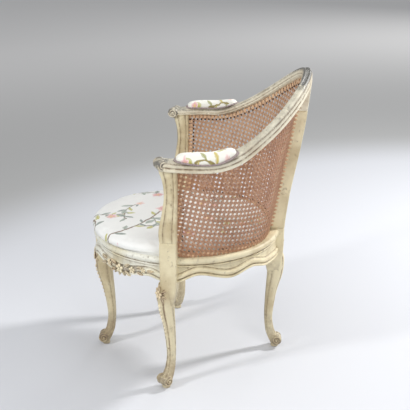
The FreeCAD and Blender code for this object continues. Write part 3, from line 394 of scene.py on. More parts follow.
def new_material(name: str) -> tuple[Material, NodeDesk, bpy.types.Node]:
    """Starts a material and returns it with its desk and its Principled shader."""
    material = bpy.data.materials.new(name)
    material.use_nodes = True
    tree = material.node_tree
    shader = next(node for node in tree.nodes if node.type == "BSDF_PRINCIPLED")
    return material, NodeDesk(tree), shader


FLOAT, COLOUR, VECTOR = "NodeSocketFloat", "NodeSocketColor", "NodeSocketVector"


class WornPaintGroup:
    """Old brushed paint: clouded colour, dirt in the mouldings, grey rubbed places and small chips."""

    def __init__(self) -> None:
        """Builds the group once."""
        self.tree, desk = new_group(
            "worn_paint",
            {"Vector": VECTOR, "Paint": COLOUR, "Aged": COLOUR, "Dirt": COLOUR, "Bare": COLOUR,
             "Patina": FLOAT, "Rub": FLOAT},
            {"Color": COLOUR, "Roughness": FLOAT, "Height": FLOAT})
        given = desk.add("NodeGroupInput").outputs
        vector = given["Vector"]
        cloud = desk.noise(vector, 11.0, 5.0)
        fine = desk.noise(vector, 70.0, 5.0, 0.65)
        speck = desk.noise(vector, 260.0, 3.0, 0.6)
        long = desk.add("ShaderNodeMapping", {"Vector": vector, "Scale": (1.0, 1.0, 0.22)}).outputs[0]
        streak = desk.noise(long, 120.0, 3.0, 0.6)
        colour = desk.mix(desk.step(cloud, 0.38, 0.68), given["Paint"], given["Aged"])
        stain = desk.times(desk.step(fine, 0.52, 0.72), desk.step(streak, 0.46, 0.66))
        colour = desk.mix(desk.times(stain, 0.75), colour, given["Dirt"])
        broken = desk.plus(desk.times(fine, 0.9), desk.times(speck, 0.5))
        packed = desk.times(given["Patina"], desk.step(broken, 0.42, 0.8))
        colour = desk.mix(desk.math("MINIMUM", packed, 1.0), colour, given["Dirt"])
        worn = desk.math("MULTIPLY", given["Rub"], desk.step(broken, 0.4, 0.9), clamp=True)
        chips = desk.times(desk.step(speck, 0.66, 0.7), desk.step(cloud, 0.5, 0.62))
        colour = desk.mix(desk.math("MAXIMUM", worn, desk.times(chips, 0.6)), colour, given["Bare"])
        rough = desk.plus(desk.times(fine, 0.25), 0.38)
        height = desk.plus(desk.times(streak, 0.5), desk.times(speck, 0.35))
        desk.add("NodeGroupOutput", {"Color": colour, "Roughness": rough, "Height": height})


@dataclass(frozen=True)
class PaintFinish:
    """Cream paint on wood, rubbed and soiled by age."""

    name: str
    paint: Colour = (0.76, 0.675, 0.455)
    aged: Colour = (0.55, 0.45, 0.27)
    dirt: Colour = (0.2, 0.13, 0.075)
    bare: Colour = (0.15, 0.145, 0.13)

    def build(self, group: WornPaintGroup) -> Material:
        """Makes the material.

        Args:
            group: the shared worn paint effect.

        Returns:
            The material.
        """
        material, desk, shader = new_material(self.name)
        worn = desk.add("ShaderNodeGroup", {
            "Vector": desk.where(), "Patina": desk.attribute(PATINA_AND_SHADE), "Rub": desk.attribute(RUB),
            "Paint": self.paint, "Aged": self.aged, "Dirt": self.dirt, "Bare": self.bare},
            node_tree=group.tree).outputs
        desk.feed(shader, {"Base Color": worn["Color"], "Roughness": worn["Roughness"],
                           "Normal": desk.bump(worn["Height"], 0.25, 0.0012)})
        return material


class ThreadGroup:
    """Plain weave: two crossed sets of fine threads, as a value and a height."""

    def __init__(self) -> None:
        """Builds the group once."""
        self.tree, desk = new_group("plain_weave", {"Vector": VECTOR, "Threads": FLOAT},
                                    {"Value": FLOAT, "Height": FLOAT})
        given = desk.add("NodeGroupInput").outputs
        parts = desk.split(given["Vector"])
        waves = []
        for axis in (0, 1):
            angle = desk.times(parts[axis], given["Threads"])
            waves.append(desk.math("ABSOLUTE", desk.math("SINE", angle)))
        cross = desk.times(waves[0], waves[1])
        slub = desk.noise(given["Vector"], 240.0, 3.0)
        desk.add("NodeGroupOutput", {"Value": desk.times(cross, slub), "Height": cross})


@dataclass(frozen=True)
class ClothFinish:
    """Plain woven cloth, braid or webbing."""

    name: str
    light: Colour
    dark: Colour
    threads: float = 1600.0
    sheen: float = 0.2

    def build(self, group: ThreadGroup) -> Material:
        """Makes the material.

        Args:
            group: the shared weave effect.

        Returns:
            The material.
        """
        material, desk, shader = new_material(self.name)
        where = desk.where()
        weave = desk.add("ShaderNodeGroup", {"Vector": where, "Threads": self.threads}, node_tree=group.tree)
        mottle = desk.step(desk.noise(where, 330.0, 3.0, 0.7), 0.4, 0.62)
        thread = desk.plus(desk.times(weave.outputs["Value"], 0.6), desk.times(mottle, 0.7))
        colour = desk.mix(desk.math("MINIMUM", thread, 1.0), self.dark, self.light)
        desk.feed(shader, {"Base Color": colour, "Roughness": 0.85, "Sheen Weight": self.sheen,
                           "Normal": desk.bump(weave.outputs["Height"], 0.4, 0.0006)})
        return material


class Leaf(NamedTuple):
    """A printed leaf: its middle, its turn in degrees, its length and width in metres and its green."""

    x: float
    y: float
    turn: float
    length: float
    width: float
    tone: int


class Blossom(NamedTuple):
    """A printed blossom: its middle, its radius in metres, its turn in degrees and which pink it has."""

    x: float
    y: float
    radius: float
    turn: float
    tone: int


class Stem(NamedTuple):
    """A printed stem, an arc: its circle's middle and radius, its middle bearing, half angle and width."""

    x: float
    y: float
    radius: float
    bearing: float
    half: float
    width: float


def paler(tone: Colour, white: float, share: float) -> Colour:
    """Returns a colour that has gone a share of the way to white."""
    return tuple(between(part, white, share) for part in tone)


@dataclass(frozen=True)
class ChintzPrint:
    """A scattered sprig print on white cotton, repeated in a half drop."""

    repeat: float = 0.32
    ground: Colour = (0.86, 0.86, 0.83)
    bark: Colour = (0.23, 0.17, 0.12)
    greens: tuple[Colour, ...] = ((0.22, 0.27, 0.22), (0.33, 0.38, 0.31), (0.5, 0.48, 0.13))
    pinks: tuple[Colour, ...] = ((0.76, 0.42, 0.39), (0.8, 0.56, 0.5), (0.7, 0.34, 0.34))
    heart: Colour = (0.78, 0.6, 0.22)
    stems: tuple[Stem, ...] = (
        Stem(-0.13, 0.2, 0.27, -58.0, 26.0, 0.0036), Stem(0.09, 0.04, 0.1, 150.0, 40.0, 0.0024),
        Stem(0.02, -0.16, 0.115, 50.0, 38.0, 0.0026), Stem(-0.2, 0.06, 0.11, 5.0, 38.0, 0.0024),
        Stem(-0.02, 0.15, 0.08, -110.0, 40.0, 0.0022), Stem(0.15, -0.02, 0.09, 195.0, 34.0, 0.0022))
    blossoms: tuple[Blossom, ...] = (
        Blossom(0.108, 0.066, 0.024, 15, 0), Blossom(-0.1, -0.085, 0.022, 40, 1),
        Blossom(0.124, -0.124, 0.021, 70, 2), Blossom(-0.116, 0.12, 0.021, 5, 1),
        Blossom(-0.04, 0.062, 0.017, 30, 0), Blossom(0.056, 0.134, 0.016, 55, 1),
        Blossom(0.14, 0.05, 0.015, 35, 1), Blossom(-0.07, -0.105, 0.014, 20, 2))
    leaves_per_stem: int = 8
    leaf_lean: float = 48.0
    leaf_length: float = 0.03

    def sprig(self, stem: Stem) -> list[Leaf]:
        """Returns the leaves that grow on both sides of a stem."""
        leaves = []
        for index in range(self.leaves_per_stem):
            side = 1.0 if index % 2 else -1.0
            bearing = stem.bearing + stem.half * between(-0.9, 0.9, index / (self.leaves_per_stem - 1))
            turn = bearing + 90.0 - side * self.leaf_lean
            length = self.leaf_length * (0.8 + 0.12 * (index * 7 % 4))
            angle, lean = radians(bearing), radians(turn)
            leaves.append(Leaf(stem.x + stem.radius * cos(angle) + length / 2 * cos(lean),
                               stem.y + stem.radius * sin(angle) + length / 2 * sin(lean),
                               turn, length, length * 0.42, (index + round(stem.bearing)) % 3))
        return leaves

    def tile(self, desk: NodeDesk, vector: object) -> Socket:
        """Returns the place within one repeat of the print, around its middle."""
        parts = desk.split(vector)
        column = desk.math("DIVIDE", parts[0], self.repeat)
        drop = desk.times(desk.math("FLOORED_MODULO", desk.math("FLOOR", column), 2.0), 0.5)
        row = desk.plus(desk.math("DIVIDE", parts[1], self.repeat), drop)
        places = []
        for value in (column, row):
            inside = desk.math("SUBTRACT", desk.math("FRACT", value), 0.5)
            places.append(desk.times(inside, self.repeat))
        return desk.add("ShaderNodeCombineXYZ", {0: places[0], 1: places[1]}).outputs[0]

    def draw_stem(self, desk: NodeDesk, where: object, stem: Stem, colour: object) -> Socket:
        """Prints one stem over a colour and returns the result."""
        local = desk.place(where, (stem.x, stem.y), radians(stem.bearing), (1.0, 1.0))
        length = desk.vector("LENGTH", {0: local}, "Value")
        along = desk.split(local)[0]
        off = desk.math("ABSOLUTE", desk.math("SUBTRACT", length, stem.radius))
        line = desk.step(off, stem.width, stem.width * 0.35)
        reach = stem.radius * cos(radians(stem.half))
        inside = desk.math("GREATER_THAN", along, reach)
        return desk.mix(desk.times(line, inside), colour, self.bark)

    def draw_leaf(self, desk: NodeDesk, where: object, leaf: Leaf, colour: object) -> Socket:
        """Prints one leaf with a dark rib over a colour and returns the result."""
        local = desk.place(where, (leaf.x, leaf.y), radians(leaf.turn), (leaf.length / 2, leaf.width / 2))
        parts = desk.split(local)
        side = desk.math("ABSOLUTE", parts[1])
        taper = desk.math("SUBTRACT", 1.0, desk.times(parts[0], parts[0]))
        shape = desk.step(desk.math("SUBTRACT", taper, side), 0.0, 0.14)
        tone = self.greens[leaf.tone]
        pale = paler(tone, 0.8, 0.32)
        shade = desk.mix(desk.step(side, 0.02, 0.5), tone, pale)
        return desk.mix(shape, colour, shade)

    def draw_blossom(self, desk: NodeDesk, where: object, blossom: Blossom, colour: object) -> Socket:
        """Prints one five-petalled blossom over a colour and returns the result."""
        scale = (blossom.radius, blossom.radius)
        local = desk.place(where, (blossom.x, blossom.y), radians(blossom.turn), scale)
        parts = desk.split(local)
        length = desk.vector("LENGTH", {0: local}, "Value")
        bearing = desk.math("ARCTAN2", parts[1], parts[0])
        lobes = desk.math("COSINE", desk.times(bearing, 5.0))
        edge = desk.plus(desk.times(lobes, 0.16), 0.84)
        shape = desk.step(desk.math("SUBTRACT", edge, length), 0.0, 0.1)
        tone = self.pinks[blossom.tone]
        pale = paler(tone, 0.92, 0.55)
        petal = desk.mix(desk.step(desk.math("SUBTRACT", edge, length), 0.05, 0.6), pale, tone)
        petal = desk.mix(desk.step(lobes, -0.6, -1.0), petal, tone)
        petal = desk.mix(desk.step(length, 0.24, 0.16), petal, self.heart)
        return desk.mix(shape, colour, petal)

    def build(self) -> Tree:
        """Makes the print as a node group from a place on the cloth to its colour."""
        tree, desk = new_group("sprig_print", {"Vector": VECTOR}, {"Color": COLOUR})
        given = desk.add("NodeGroupInput").outputs
        wander = desk.add("ShaderNodeTexNoise", {"Vector": given["Vector"], "Scale": 34.0, "Detail": 3.0})
        shift = desk.vector("SUBTRACT", {0: wander.outputs["Color"], 1: (0.5, 0.5, 0.5)})
        shift = desk.vector("SCALE", {0: shift, "Scale": 0.016})
        where = self.tile(desk, desk.vector("ADD", {0: given["Vector"], 1: shift}))
        blot = desk.step(desk.noise(given["Vector"], 26.0, 3.0), 0.35, 0.75)
        colour = desk.mix(blot, self.ground, tuple(part * 0.97 for part in self.ground))
        for stem in self.stems:
            colour = self.draw_stem(desk, where, stem, colour)
        for leaf in (leaf for stem in self.stems for leaf in self.sprig(stem)):
            colour = self.draw_leaf(desk, where, leaf, colour)
        for blossom in self.blossoms:
            colour = self.draw_blossom(desk, where, blossom, colour)
        desk.add("NodeGroupOutput", {"Color": colour})
        return tree


@dataclass(frozen=True)
class ChintzFinish:
    """Printed cotton, with the print laid on at a shift and a turn."""

    name: str
    shift: tuple[float, float] = (0.0, 0.0)
    turn: float = 0.0
    scale: float = 1.0

    def build(self, print_tree: Tree, weave: ThreadGroup) -> Material:
        """Makes the material.

        Args:
            print_tree: the print's node group.
            weave: the shared weave effect.

        Returns:
            The material.
        """
        material, desk, shader = new_material(self.name)
        where = desk.where()
        laid = desk.place(where, self.shift, radians(self.turn), (self.scale, self.scale))
        printed = desk.add("ShaderNodeGroup", {"Vector": laid}, node_tree=print_tree)
        threads = desk.add("ShaderNodeGroup", {"Vector": where, "Threads": 4200.0}, node_tree=weave.tree)
        desk.feed(shader, {"Base Color": printed.outputs[0], "Roughness": 0.7, "Sheen Weight": 0.15,
                           "Normal": desk.bump(threads.outputs["Height"], 0.25, 0.0004)})
        return material


@dataclass(frozen=True)
class CaneFinish:
    """Split cane, glossy, each strand its own tone, golden inside and darker outside by painted shade."""

    name: str
    pale: Colour = (0.8, 0.55, 0.34)
    deep: Colour = (0.55, 0.32, 0.18)
    # Painted shade: browner, darker copies of the cane's colours for the panel's outside face.
    shaded_outer_pale: Colour = (0.58, 0.32, 0.18)
    shaded_outer_deep: Colour = (0.29, 0.125, 0.06)

    def build(self) -> Material:
        """Makes the material."""
        material, desk, shader = new_material(self.name)
        where = desk.where()
        tone = desk.attribute(STRAND)
        # The patina channel marks the outside faces, where the painted shade goes.
        outside = desk.attribute(PATINA_AND_SHADE)
        cloud = desk.step(desk.noise(where, 16.0, 4.0), 0.35, 0.7)
        grain = desk.noise(where, 480.0, 3.0, 0.7)
        share = desk.plus(desk.times(tone, 0.65), desk.times(cloud, 0.25))
        share = desk.math("MINIMUM", desk.plus(share, desk.times(grain, 0.25)), 1.0)
        inner = desk.mix(share, self.pale, self.deep)
        # The outside face takes the painted shade.
        outer = desk.mix(share, self.shaded_outer_pale, self.shaded_outer_deep)
        desk.feed(shader, {"Base Color": desk.mix(outside, inner, outer), "Roughness": 0.42,
                           "Normal": desk.bump(grain, 0.3, 0.0003)})
        return material


@dataclass(frozen=True)
class GrainFinish:
    """Bare wood, dark metal and the painted shadow in a hole, each with a long fine grain."""

    name: str
    light: Colour
    dark: Colour
    metal: float = 0.0
    rough: float = 0.6

    def build(self) -> Material:
        """Makes the material."""
        material, desk, shader = new_material(self.name)
        where = desk.where()
        long = desk.add("ShaderNodeMapping", {"Vector": where, "Scale": (0.25, 1.0, 1.0)}).outputs[0]
        grain = desk.step(desk.noise(long, 160.0, 5.0, 0.6), 0.35, 0.68)
        desk.feed(shader, {"Base Color": desk.mix(grain, self.light, self.dark), "Metallic": self.metal,
                           "Roughness": self.rough, "Normal": desk.bump(grain, 0.2, 0.0004)})
        return material


class Palette:
    """All the finishes of the chair, each built once."""

    def __init__(self) -> None:
        """Builds the shared effects and then the materials."""
        paint = WornPaintGroup()
        weave = ThreadGroup()
        print_tree = ChintzPrint().build()
        pad_print = ChintzPrint(
            repeat=0.15, ground=(0.86, 0.85, 0.77), bark=(0.3, 0.24, 0.08),
            greens=((0.5, 0.47, 0.1), (0.36, 0.36, 0.13), (0.58, 0.47, 0.1)),
            stems=(Stem(0.0, -0.092, 0.098, 90.0, 30.0, 0.0022),
                   Stem(0.004, -0.128, 0.094, 88.0, 28.0, 0.002)),
            blossoms=(Blossom(-0.058, -0.036, 0.012, 10, 0), Blossom(0.058, -0.03, 0.012, 40, 1)),
            leaves_per_stem=6, leaf_length=0.026)
        self.paint = PaintFinish("cream_paint").build(paint)
        self.front_paint = PaintFinish("pale_cream_paint", paint=(0.82, 0.81, 0.71),
                                       aged=(0.74, 0.69, 0.51)).build(paint)
        self.rail_paint = PaintFinish("greyed_cream_paint", paint=(0.8, 0.745, 0.585),
                                      aged=(0.6, 0.52, 0.38)).build(paint)
        self.carved = PaintFinish("carved_paint", paint=(0.86, 0.78, 0.56), aged=(0.78, 0.64, 0.42),
                                  dirt=(0.12, 0.06, 0.03)).build(paint)
        self.seat_chintz = ChintzFinish("seat_chintz", (0.304, -0.309), 109.0, 1.1).build(print_tree, weave)
        self.pad_chintz = ChintzFinish("pad_chintz", (0.36, -0.045), 90.0).build(pad_print.build(), weave)
        self.cane = CaneFinish("split_cane").build()
        # Painted shadow: the dark brown that stands inside the cane's holes.
        self.hole_shadow = GrainFinish("cane_hole_shadow", (0.06, 0.035, 0.02), (0.03, 0.018, 0.01),
                                rough=0.9).build()
        self.gimp = ClothFinish("gimp_braid", (0.5, 0.42, 0.4), (0.2, 0.14, 0.14),
                                threads=2600.0).build(weave)
        self.webbing = ClothFinish("jute_webbing", (0.52, 0.4, 0.24),
                                   (0.3, 0.21, 0.11)).build(weave)
        self.base_cloth = ClothFinish("base_cloth", (0.56, 0.45, 0.29),
                                      (0.34, 0.25, 0.14)).build(weave)
        self.beech = GrainFinish("bare_beech", (0.6, 0.42, 0.25), (0.46, 0.29, 0.16)).build()
        self.steel = GrainFinish("blued_steel", (0.12, 0.13, 0.16), (0.05, 0.05, 0.07), metal=1.0,
                                 rough=0.4).build()


class Sculptor:
    """Collects one piece's mesh and turns it into a finished object."""

    held_share = 0.04
    merge_distance = 1e-6

    def __init__(self, name: str) -> None:
        """Starts an empty mesh for a piece of that name."""
        self.name = name
        self.mesh = bmesh.new()
        layers = self.mesh.verts.layers.float
        self.patina = layers.new(PATINA_AND_SHADE)
        layers.new(RUB)
        self.strand = layers.new(STRAND)

    def skin(self, rings: Sequence[Ring], wear: Wear | None = None, capped: bool = True,
             held: bool = False) -> Verts:
        """Lays a skin over closed rings of points.

        Args:
            rings: rings with the same number of points each.
            wear: gives the patina and the rub at a ring and a point of it; on the cane the patina marks
                painted shade.
            capped: closes the two ends.
            held: adds a ring close to each end, which keeps the ends square when the skin is rounded.

        Returns:
            The new vertices.
        """
        rows = list(range(len(rings)))
        if held:
            near = [[end.lerp(inner, self.held_share) for end, inner in zip(*pair)]
                    for pair in ((rings[0], rings[1]), (rings[-1], rings[-2]))]
            rings = [rings[0], near[0], *rings[1:-1], near[1], rings[-1]]
            rows = [0, *rows, rows[-1]]
        count = len(rings[0])
        columns = count + 1
        sheet = bmesh.new()
        patina = sheet.verts.layers.float.new(PATINA_AND_SHADE)
        rub = sheet.verts.layers.float.new(RUB)
        made = bmesh.ops.create_grid(sheet, x_segments=count, y_segments=len(rings) - 1, size=1.0)["verts"]
        made = sorted(made, key=lambda vert: (round(vert.co.y, 5), round(vert.co.x, 5)))
        for index, vert in enumerate(made):
            row, column = divmod(index, columns)
            vert.co = rings[row][column % count]
            if wear:
                vert[patina], vert[rub] = wear(rows[row], column % count)
        bmesh.ops.remove_doubles(sheet, verts=made, dist=self.merge_distance)
        if capped:
            bmesh.ops.holes_fill(sheet, edges=[edge for edge in sheet.edges if edge.is_boundary], sides=0)
        return self.add(sheet)

    def add(self, part: bmesh.types.BMesh) -> Verts:
        """Adds a finished part to the piece and returns its vertices."""
        known = len(self.mesh.verts)
        data = bpy.data.meshes.new("part")
        part.to_mesh(data)
        part.free()
        self.mesh.from_mesh(data)
        bpy.data.meshes.remove(data)
        self.mesh.verts.ensure_lookup_table()
        return self.mesh.verts[known:]

    def tube(self, path: Sequence[Vector], radii: Sequence[float], normal: Vector, sides: int = 8,
             flat: float = 1.0, loop: bool = False, patina: float = 0.0) -> None:
        """Lays a round tube along a path.

        Args:
            path: the points that it follows.
            radii: its radius at each point.
            normal: a direction across the path, along which it may be flattened.
            sides: the points of each ring.
            flat: the height along the normal, as a share of the width.
            loop: whether the path closes on itself.
            patina: the dirt on it.
        """
        rings = []
        last = len(path) - 1
        for index, (point, radius) in enumerate(zip(path, radii)):
            ahead = path[(index + 1) % len(path)] if loop else path[min(index + 1, last)]
            behind = path[index - 1] if loop else path[max(index - 1, 0)]
            run = (ahead - behind).normalized()
            side = run.cross(normal).normalized()
            top = side.cross(run).normalized()
            rings.append([point + side * (radius * cos(turn)) + top * (radius * flat * sin(turn))
                          for turn in circle(sides)])
        if loop:
            rings.append(rings[0])
        self.skin(rings, lambda row, column: (patina, 0.0), capped=not loop)

    def blob(self, spot: Vector, axes: Sequence[Vector], patina: float = 0.0, segments: int = 10) -> Verts:
        """Adds a rounded lump with three half axes, darker towards its underside.

        Args:
            spot: its middle.
            axes: its three half axes; the last one points away from the surface that it is carved on.
            patina: the dirt at its foot; on the cane's loops it is painted shade.
            segments: its points around.

        Returns:
            The new vertices.
        """
        lump = bmesh.new()
        bmesh.ops.create_uvsphere(lump, u_segments=segments, v_segments=6, radius=1.0)
        made = self.add(lump)
        for vert in made:
            unit = vert.co.copy()
            vert.co = spot + axes[0] * unit.x + axes[1] * unit.y + axes[2] * unit.z
            # Darker towards the foot: dirt on carvings, painted shade on the cane's loops.
            vert[self.patina] = patina * smooth(0.75 - unit.z)
        return made

    def finish(self, material: Material, body: Body, replaced: Sequence[str] = (),
               subdivide: int = 0, sharp: float = 60.0) -> Piece:
        """Makes the object, dresses it and sets it on its body.

        Args:
            material: its finish.
            body: the body that it rides on.
            replaced: the nodes that it stands for.
            subdivide: levels of a subdivision surface.
            sharp: the angle in degrees past which an edge stays sharp.

        Returns:
            The object.
        """
        bmesh.ops.recalc_face_normals(self.mesh, faces=self.mesh.faces[:])
        data = bpy.data.meshes.new(self.name)
        self.mesh.to_mesh(data)
        self.mesh.free()
        data.shade_smooth()
        data.set_sharp_from_angle(angle=radians(sharp))
        piece = bpy.data.objects.new(self.name, data)
        bpy.context.scene.collection.objects.link(piece)
        if subdivide:
            surface = piece.modifiers.new("rounded", "SUBSURF")
            surface.levels = surface.render_levels = subdivide
        return dress(piece, material, body, replaced)

    def finish_wood(self, material: Material, node: str | None = None) -> None:
        """Finishes painted wood: a piece that stands for a node is rounded, a carving laid on one is not."""
        self.finish(material, Body.FRAME, [node] if node else [], subdivide=1 if node else 0)


def dress(piece: Piece, material: Material, body: Body,
          replaced: Sequence[str] = ()) -> Piece:
    """Gives a piece its finish, its body and the nodes that it stands for, and logs it."""
    piece.data.materials.clear()
    piece.data.materials.append(material)
    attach(piece, body.value)
    if replaced:
        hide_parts(*replaced)
    LOG.info("%s: %d faces", piece.name, len(piece.data.polygons))
    return piece


def mirror_point(point: Vector, side: Side) -> Vector:
    """Returns a point of the left half, or its twin on the right."""
    return Vector((point.x * side.value, point.y, point.z))


def mirror_rings(rings: Sequence[Ring], side: Side) -> list[Ring]:
    """Returns rings of the left half, or their twins on the right."""
    return [[mirror_point(point, side) for point in ring] for ring in rings]


def rounded_box_ring(depth: float, width: float, power: float, count: int) -> list[tuple[float, float]]:
    """Returns the points of a rounded rectangle, as offsets outwards and across."""
    points = []
    for turn in circle(count):
        c, s = cos(turn), sin(turn)
        points.append((depth / 2 * copysign(abs(c) ** (2 / power), c),
                       width / 2 * copysign(abs(s) ** (2 / power), s)))
    return points


@dataclass
class Carver:
    """Carved flowers, leaves and buds that lie on a surface of the wood."""

    work: Sculptor

    def leaf(self, root: Vector, along: Vector, normal: Vector, length: float, width: float,
             lift: float) -> None:
        """Carves one pointed leaf with a raised rib.

        Args:
            root: where its stalk is.
            along: the way that it points.
            normal: the direction away from the wood.
            length: its length.
            width: its greatest width.
            lift: its height over the wood.
        """
        across = normal.cross(along).normalized()
        section = ((-1.0, 0.1), (-0.55, 0.85), (-0.12, 0.55), (0.12, 0.55), (0.55, 0.85), (1.0, 0.1),
                   (0.5, -0.6), (-0.5, -0.6))
        rings = []
        for share in spaced(0.0, 1.0, 7):
            half = width / 2 * max(0.12, sin(pi * min(1.0, 0.12 + 0.88 * share)) ** 0.8)
            curl = lift * (0.35 + 0.65 * sin(pi * share))
            spine = root + along * (length * share)
            rings.append([spine + across * (half * offset) + normal * (curl * rise)
                          for offset, rise in section])
        edge = {0: 0.8, 2: 1.0, 3: 1.0, 5: 0.8}
        self.work.skin(rings, lambda row, column: (edge.get(column, 0.15), 0.0))

    def rosette(self, spot: Vector, normal: Vector, up: Vector, radius: float, petals: int = 5) -> None:
        """Carves one open flower.

        Args:
            spot: its middle, on the wood.
            normal: the direction away from the wood.
            up: a direction along the wood.
            radius: its outer radius.
            petals: the number of its petals.
        """
        side = up.cross(normal).normalized()
        for turn in circle(petals):
            out = up * cos(turn) + side * sin(turn)
            across = normal.cross(out)
            self.work.blob(spot + out * radius * 0.58 + normal * radius * 0.1,
                           (out * radius * 0.42, across * radius * 0.34, normal * radius * 0.3), 0.9)
        self.work.blob(spot + normal * radius * 0.22,
                       (up * radius * 0.24, side * radius * 0.24, normal * radius * 0.28), 1.0)


@dataclass
class SeatRails:
    """The four curved seat rails: a round top edge, a hollow frieze and a double serpentine moulding."""

    step: float = 1.5
    nose_start: float = 0.2705
    nose_middle: float = 0.3985
    nose_rise: float = 0.0095
    spray_psi: float = 129.0
    spray_reach: float = 12.0
    spray_dirt: float = 0.7
    spray_low: float = 0.007
    spray_high: float = 0.029
    front_wave: Rows = (
        (100, 0.334), (110, 0.347), (131, 0.333), (156, 0.347), (174, 0.326))
    back_wave: Rows = (
        (4, 0.324), (28, 0.333), (45, 0.351), (60, 0.337), (80, 0.356), (95, 0.332))
    face: Profile = mouldings(
        (0.2715, 0.3882, 1.0), (0.27, 0.3868, 1.0), (0.2742, 0.3852), (0.2746, 0.3836),
        (0.2722, 0.3818, 0.55), (0.2708, 0.377, 0.2))
    band: Profile = mouldings(
        (0.2712, 0.033, 0.2), (0.2728, 0.03, 0.1), (0.2736, 0.0285), (0.2705, 0.027, 1.0),
        (0.273, 0.0258, 0.5), (0.2778, 0.0228), (0.2796, 0.018), (0.2786, 0.0132), (0.2752, 0.0104, 0.5),
        (0.2722, 0.0092, 1.0), (0.2756, 0.008, 0.4), (0.2786, 0.0062), (0.279, 0.0034), (0.2772, 0.001),
        (0.27, 0.0000, 0.3))

    def wave(self, psi: float, front: bool) -> float:
        """Returns the height of a rail's lower edge at a bearing."""
        return eased_curve(self.front_wave if front else self.back_wave, psi)

    def profile(self, psi: float, front: bool) -> list[Moulding]:
        """Returns the whole closed profile at a bearing, as radii and heights."""
        low = self.wave(psi, front)
        well = CHAIR.well_edge(psi)
        start = max(self.nose_start, well + 0.0006)
        points = [Moulding(well, CHAIR.ledge), Moulding(well, CHAIR.rail_top - 0.001),
                  Moulding(between(well, start, 0.5), CHAIR.rail_top)]
        for turn in (80, 55, 30, 5, -20, -45, -70):
            angle = radians(turn)
            points.append(Moulding(start + (CHAIR.rail_outer - start) * cos(angle),
                                   self.nose_middle + self.nose_rise * sin(angle), 0.0, 0.15))
        points += self.face
        near = smooth(1.6 - abs(psi - self.spray_psi) / self.spray_reach)
        soiled = self.spray_dirt * near if front else 0.0
        for across, rise, dirt, _ in self.band:
            ground = soiled if self.spray_low < rise < self.spray_high else 0.0
            points.append(Moulding(across, low + rise, max(dirt, ground)))
        points += [Moulding(0.24, low + 0.001), Moulding(CHAIR.rail_inner, low + 0.006),
                   Moulding(CHAIR.rail_inner, 0.386), Moulding(CHAIR.rail_inner, CHAIR.ledge)]
        return points

    def build(self, palette: Palette) -> None:
        """Makes the four rails."""
        for side in Side:
            for name, start, end, front in (("front", 100.0, 174.5, True), ("back", 4.5, 95.0, False)):
                bearings = spaced(start, end, round((end - start) / self.step) + 1)
                profiles = [self.profile(psi, front) for psi in bearings]
                rings = [[CHAIR.at(point.across, psi, point.rise) for point in profile]
                         for psi, profile in zip(bearings, profiles)]
                work = Sculptor(f"{name}_{side.word}_rail_moulded")
                work.skin(mirror_rings(rings, side), worn_as(profiles), held=True)
                if front:
                    carving = Sculptor(f"front_{side.word}_carving")
                    self.carve(Carver(carving), side)
                    carving.finish_wood(palette.carved)
                material = palette.front_paint if front else palette.paint
                work.finish_wood(material, f"{name}_{side.word}_rail")

    def carve(self, carver: Carver, side: Side) -> None:
        """Carves the flower and leaf sprays on the front rail's lower edge."""
        def spot(psi: float, rise: float) -> tuple[Vector, Vector, Vector]:
            """Returns a place on the rail's band, with its outward and sideways directions."""
            point = mirror_point(CHAIR.at(0.2792, psi, self.wave(psi, True) + rise), side)
            normal = mirror_point(CHAIR.outward(psi), side)
            return point, normal, UP.cross(normal)

        for psi, rise, radius in ((130.0, 0.019, 0.015), (139.5, 0.019, 0.011), (120.5, 0.018, 0.011),
                                  (113.0, 0.017, 0.008)):
            point, normal, _ = spot(psi, rise)
            carver.rosette(point, normal, UP, radius)
        for psi, rise, turn, length in (
                (126.5, 0.026, 28, 0.024), (126.0, 0.012, -24, 0.024), (133.5, 0.026, 152, 0.024),
                (134.0, 0.012, 204, 0.024), (117.5, 0.023, 18, 0.022), (117.0, 0.011, -16, 0.021),
                (143.0, 0.022, 162, 0.024), (143.5, 0.01, 196, 0.023), (110.5, 0.016, 4, 0.022),
                (130.0, 0.01, 268, 0.013), (127.5, 0.01, 310, 0.014), (132.5, 0.01, 230, 0.014)):
            point, normal, across = spot(psi, rise)
            along = across * (cos(radians(turn)) * side.value) + UP * sin(radians(turn))
            carver.leaf(point, along, normal, length, length * 0.46, 0.0055)


class LegPlan(NamedTuple):
    """A leg: bearings of block, shaft and toe, the shaft's radius, and the block's outer radius and width."""

    block_psi: float
    shaft_psi: float
    toe_psi: float
    radius: float
    outer: float
    width: float


class Leg(Enum):
    """The four legs."""

    FRONT = LegPlan(180.0, 180.0, 180.0, 0.248, 0.2766, 0.05)
    BACK = LegPlan(0.0, 0.0, 0.0, 0.264, 0.2946, 0.062)
    LEFT = LegPlan(97.5, 99.0, 132.0, 0.26, 0.2896, 0.049)
    RIGHT = LegPlan(-97.5, -99.0, -132.0, 0.26, 0.2896, 0.049)


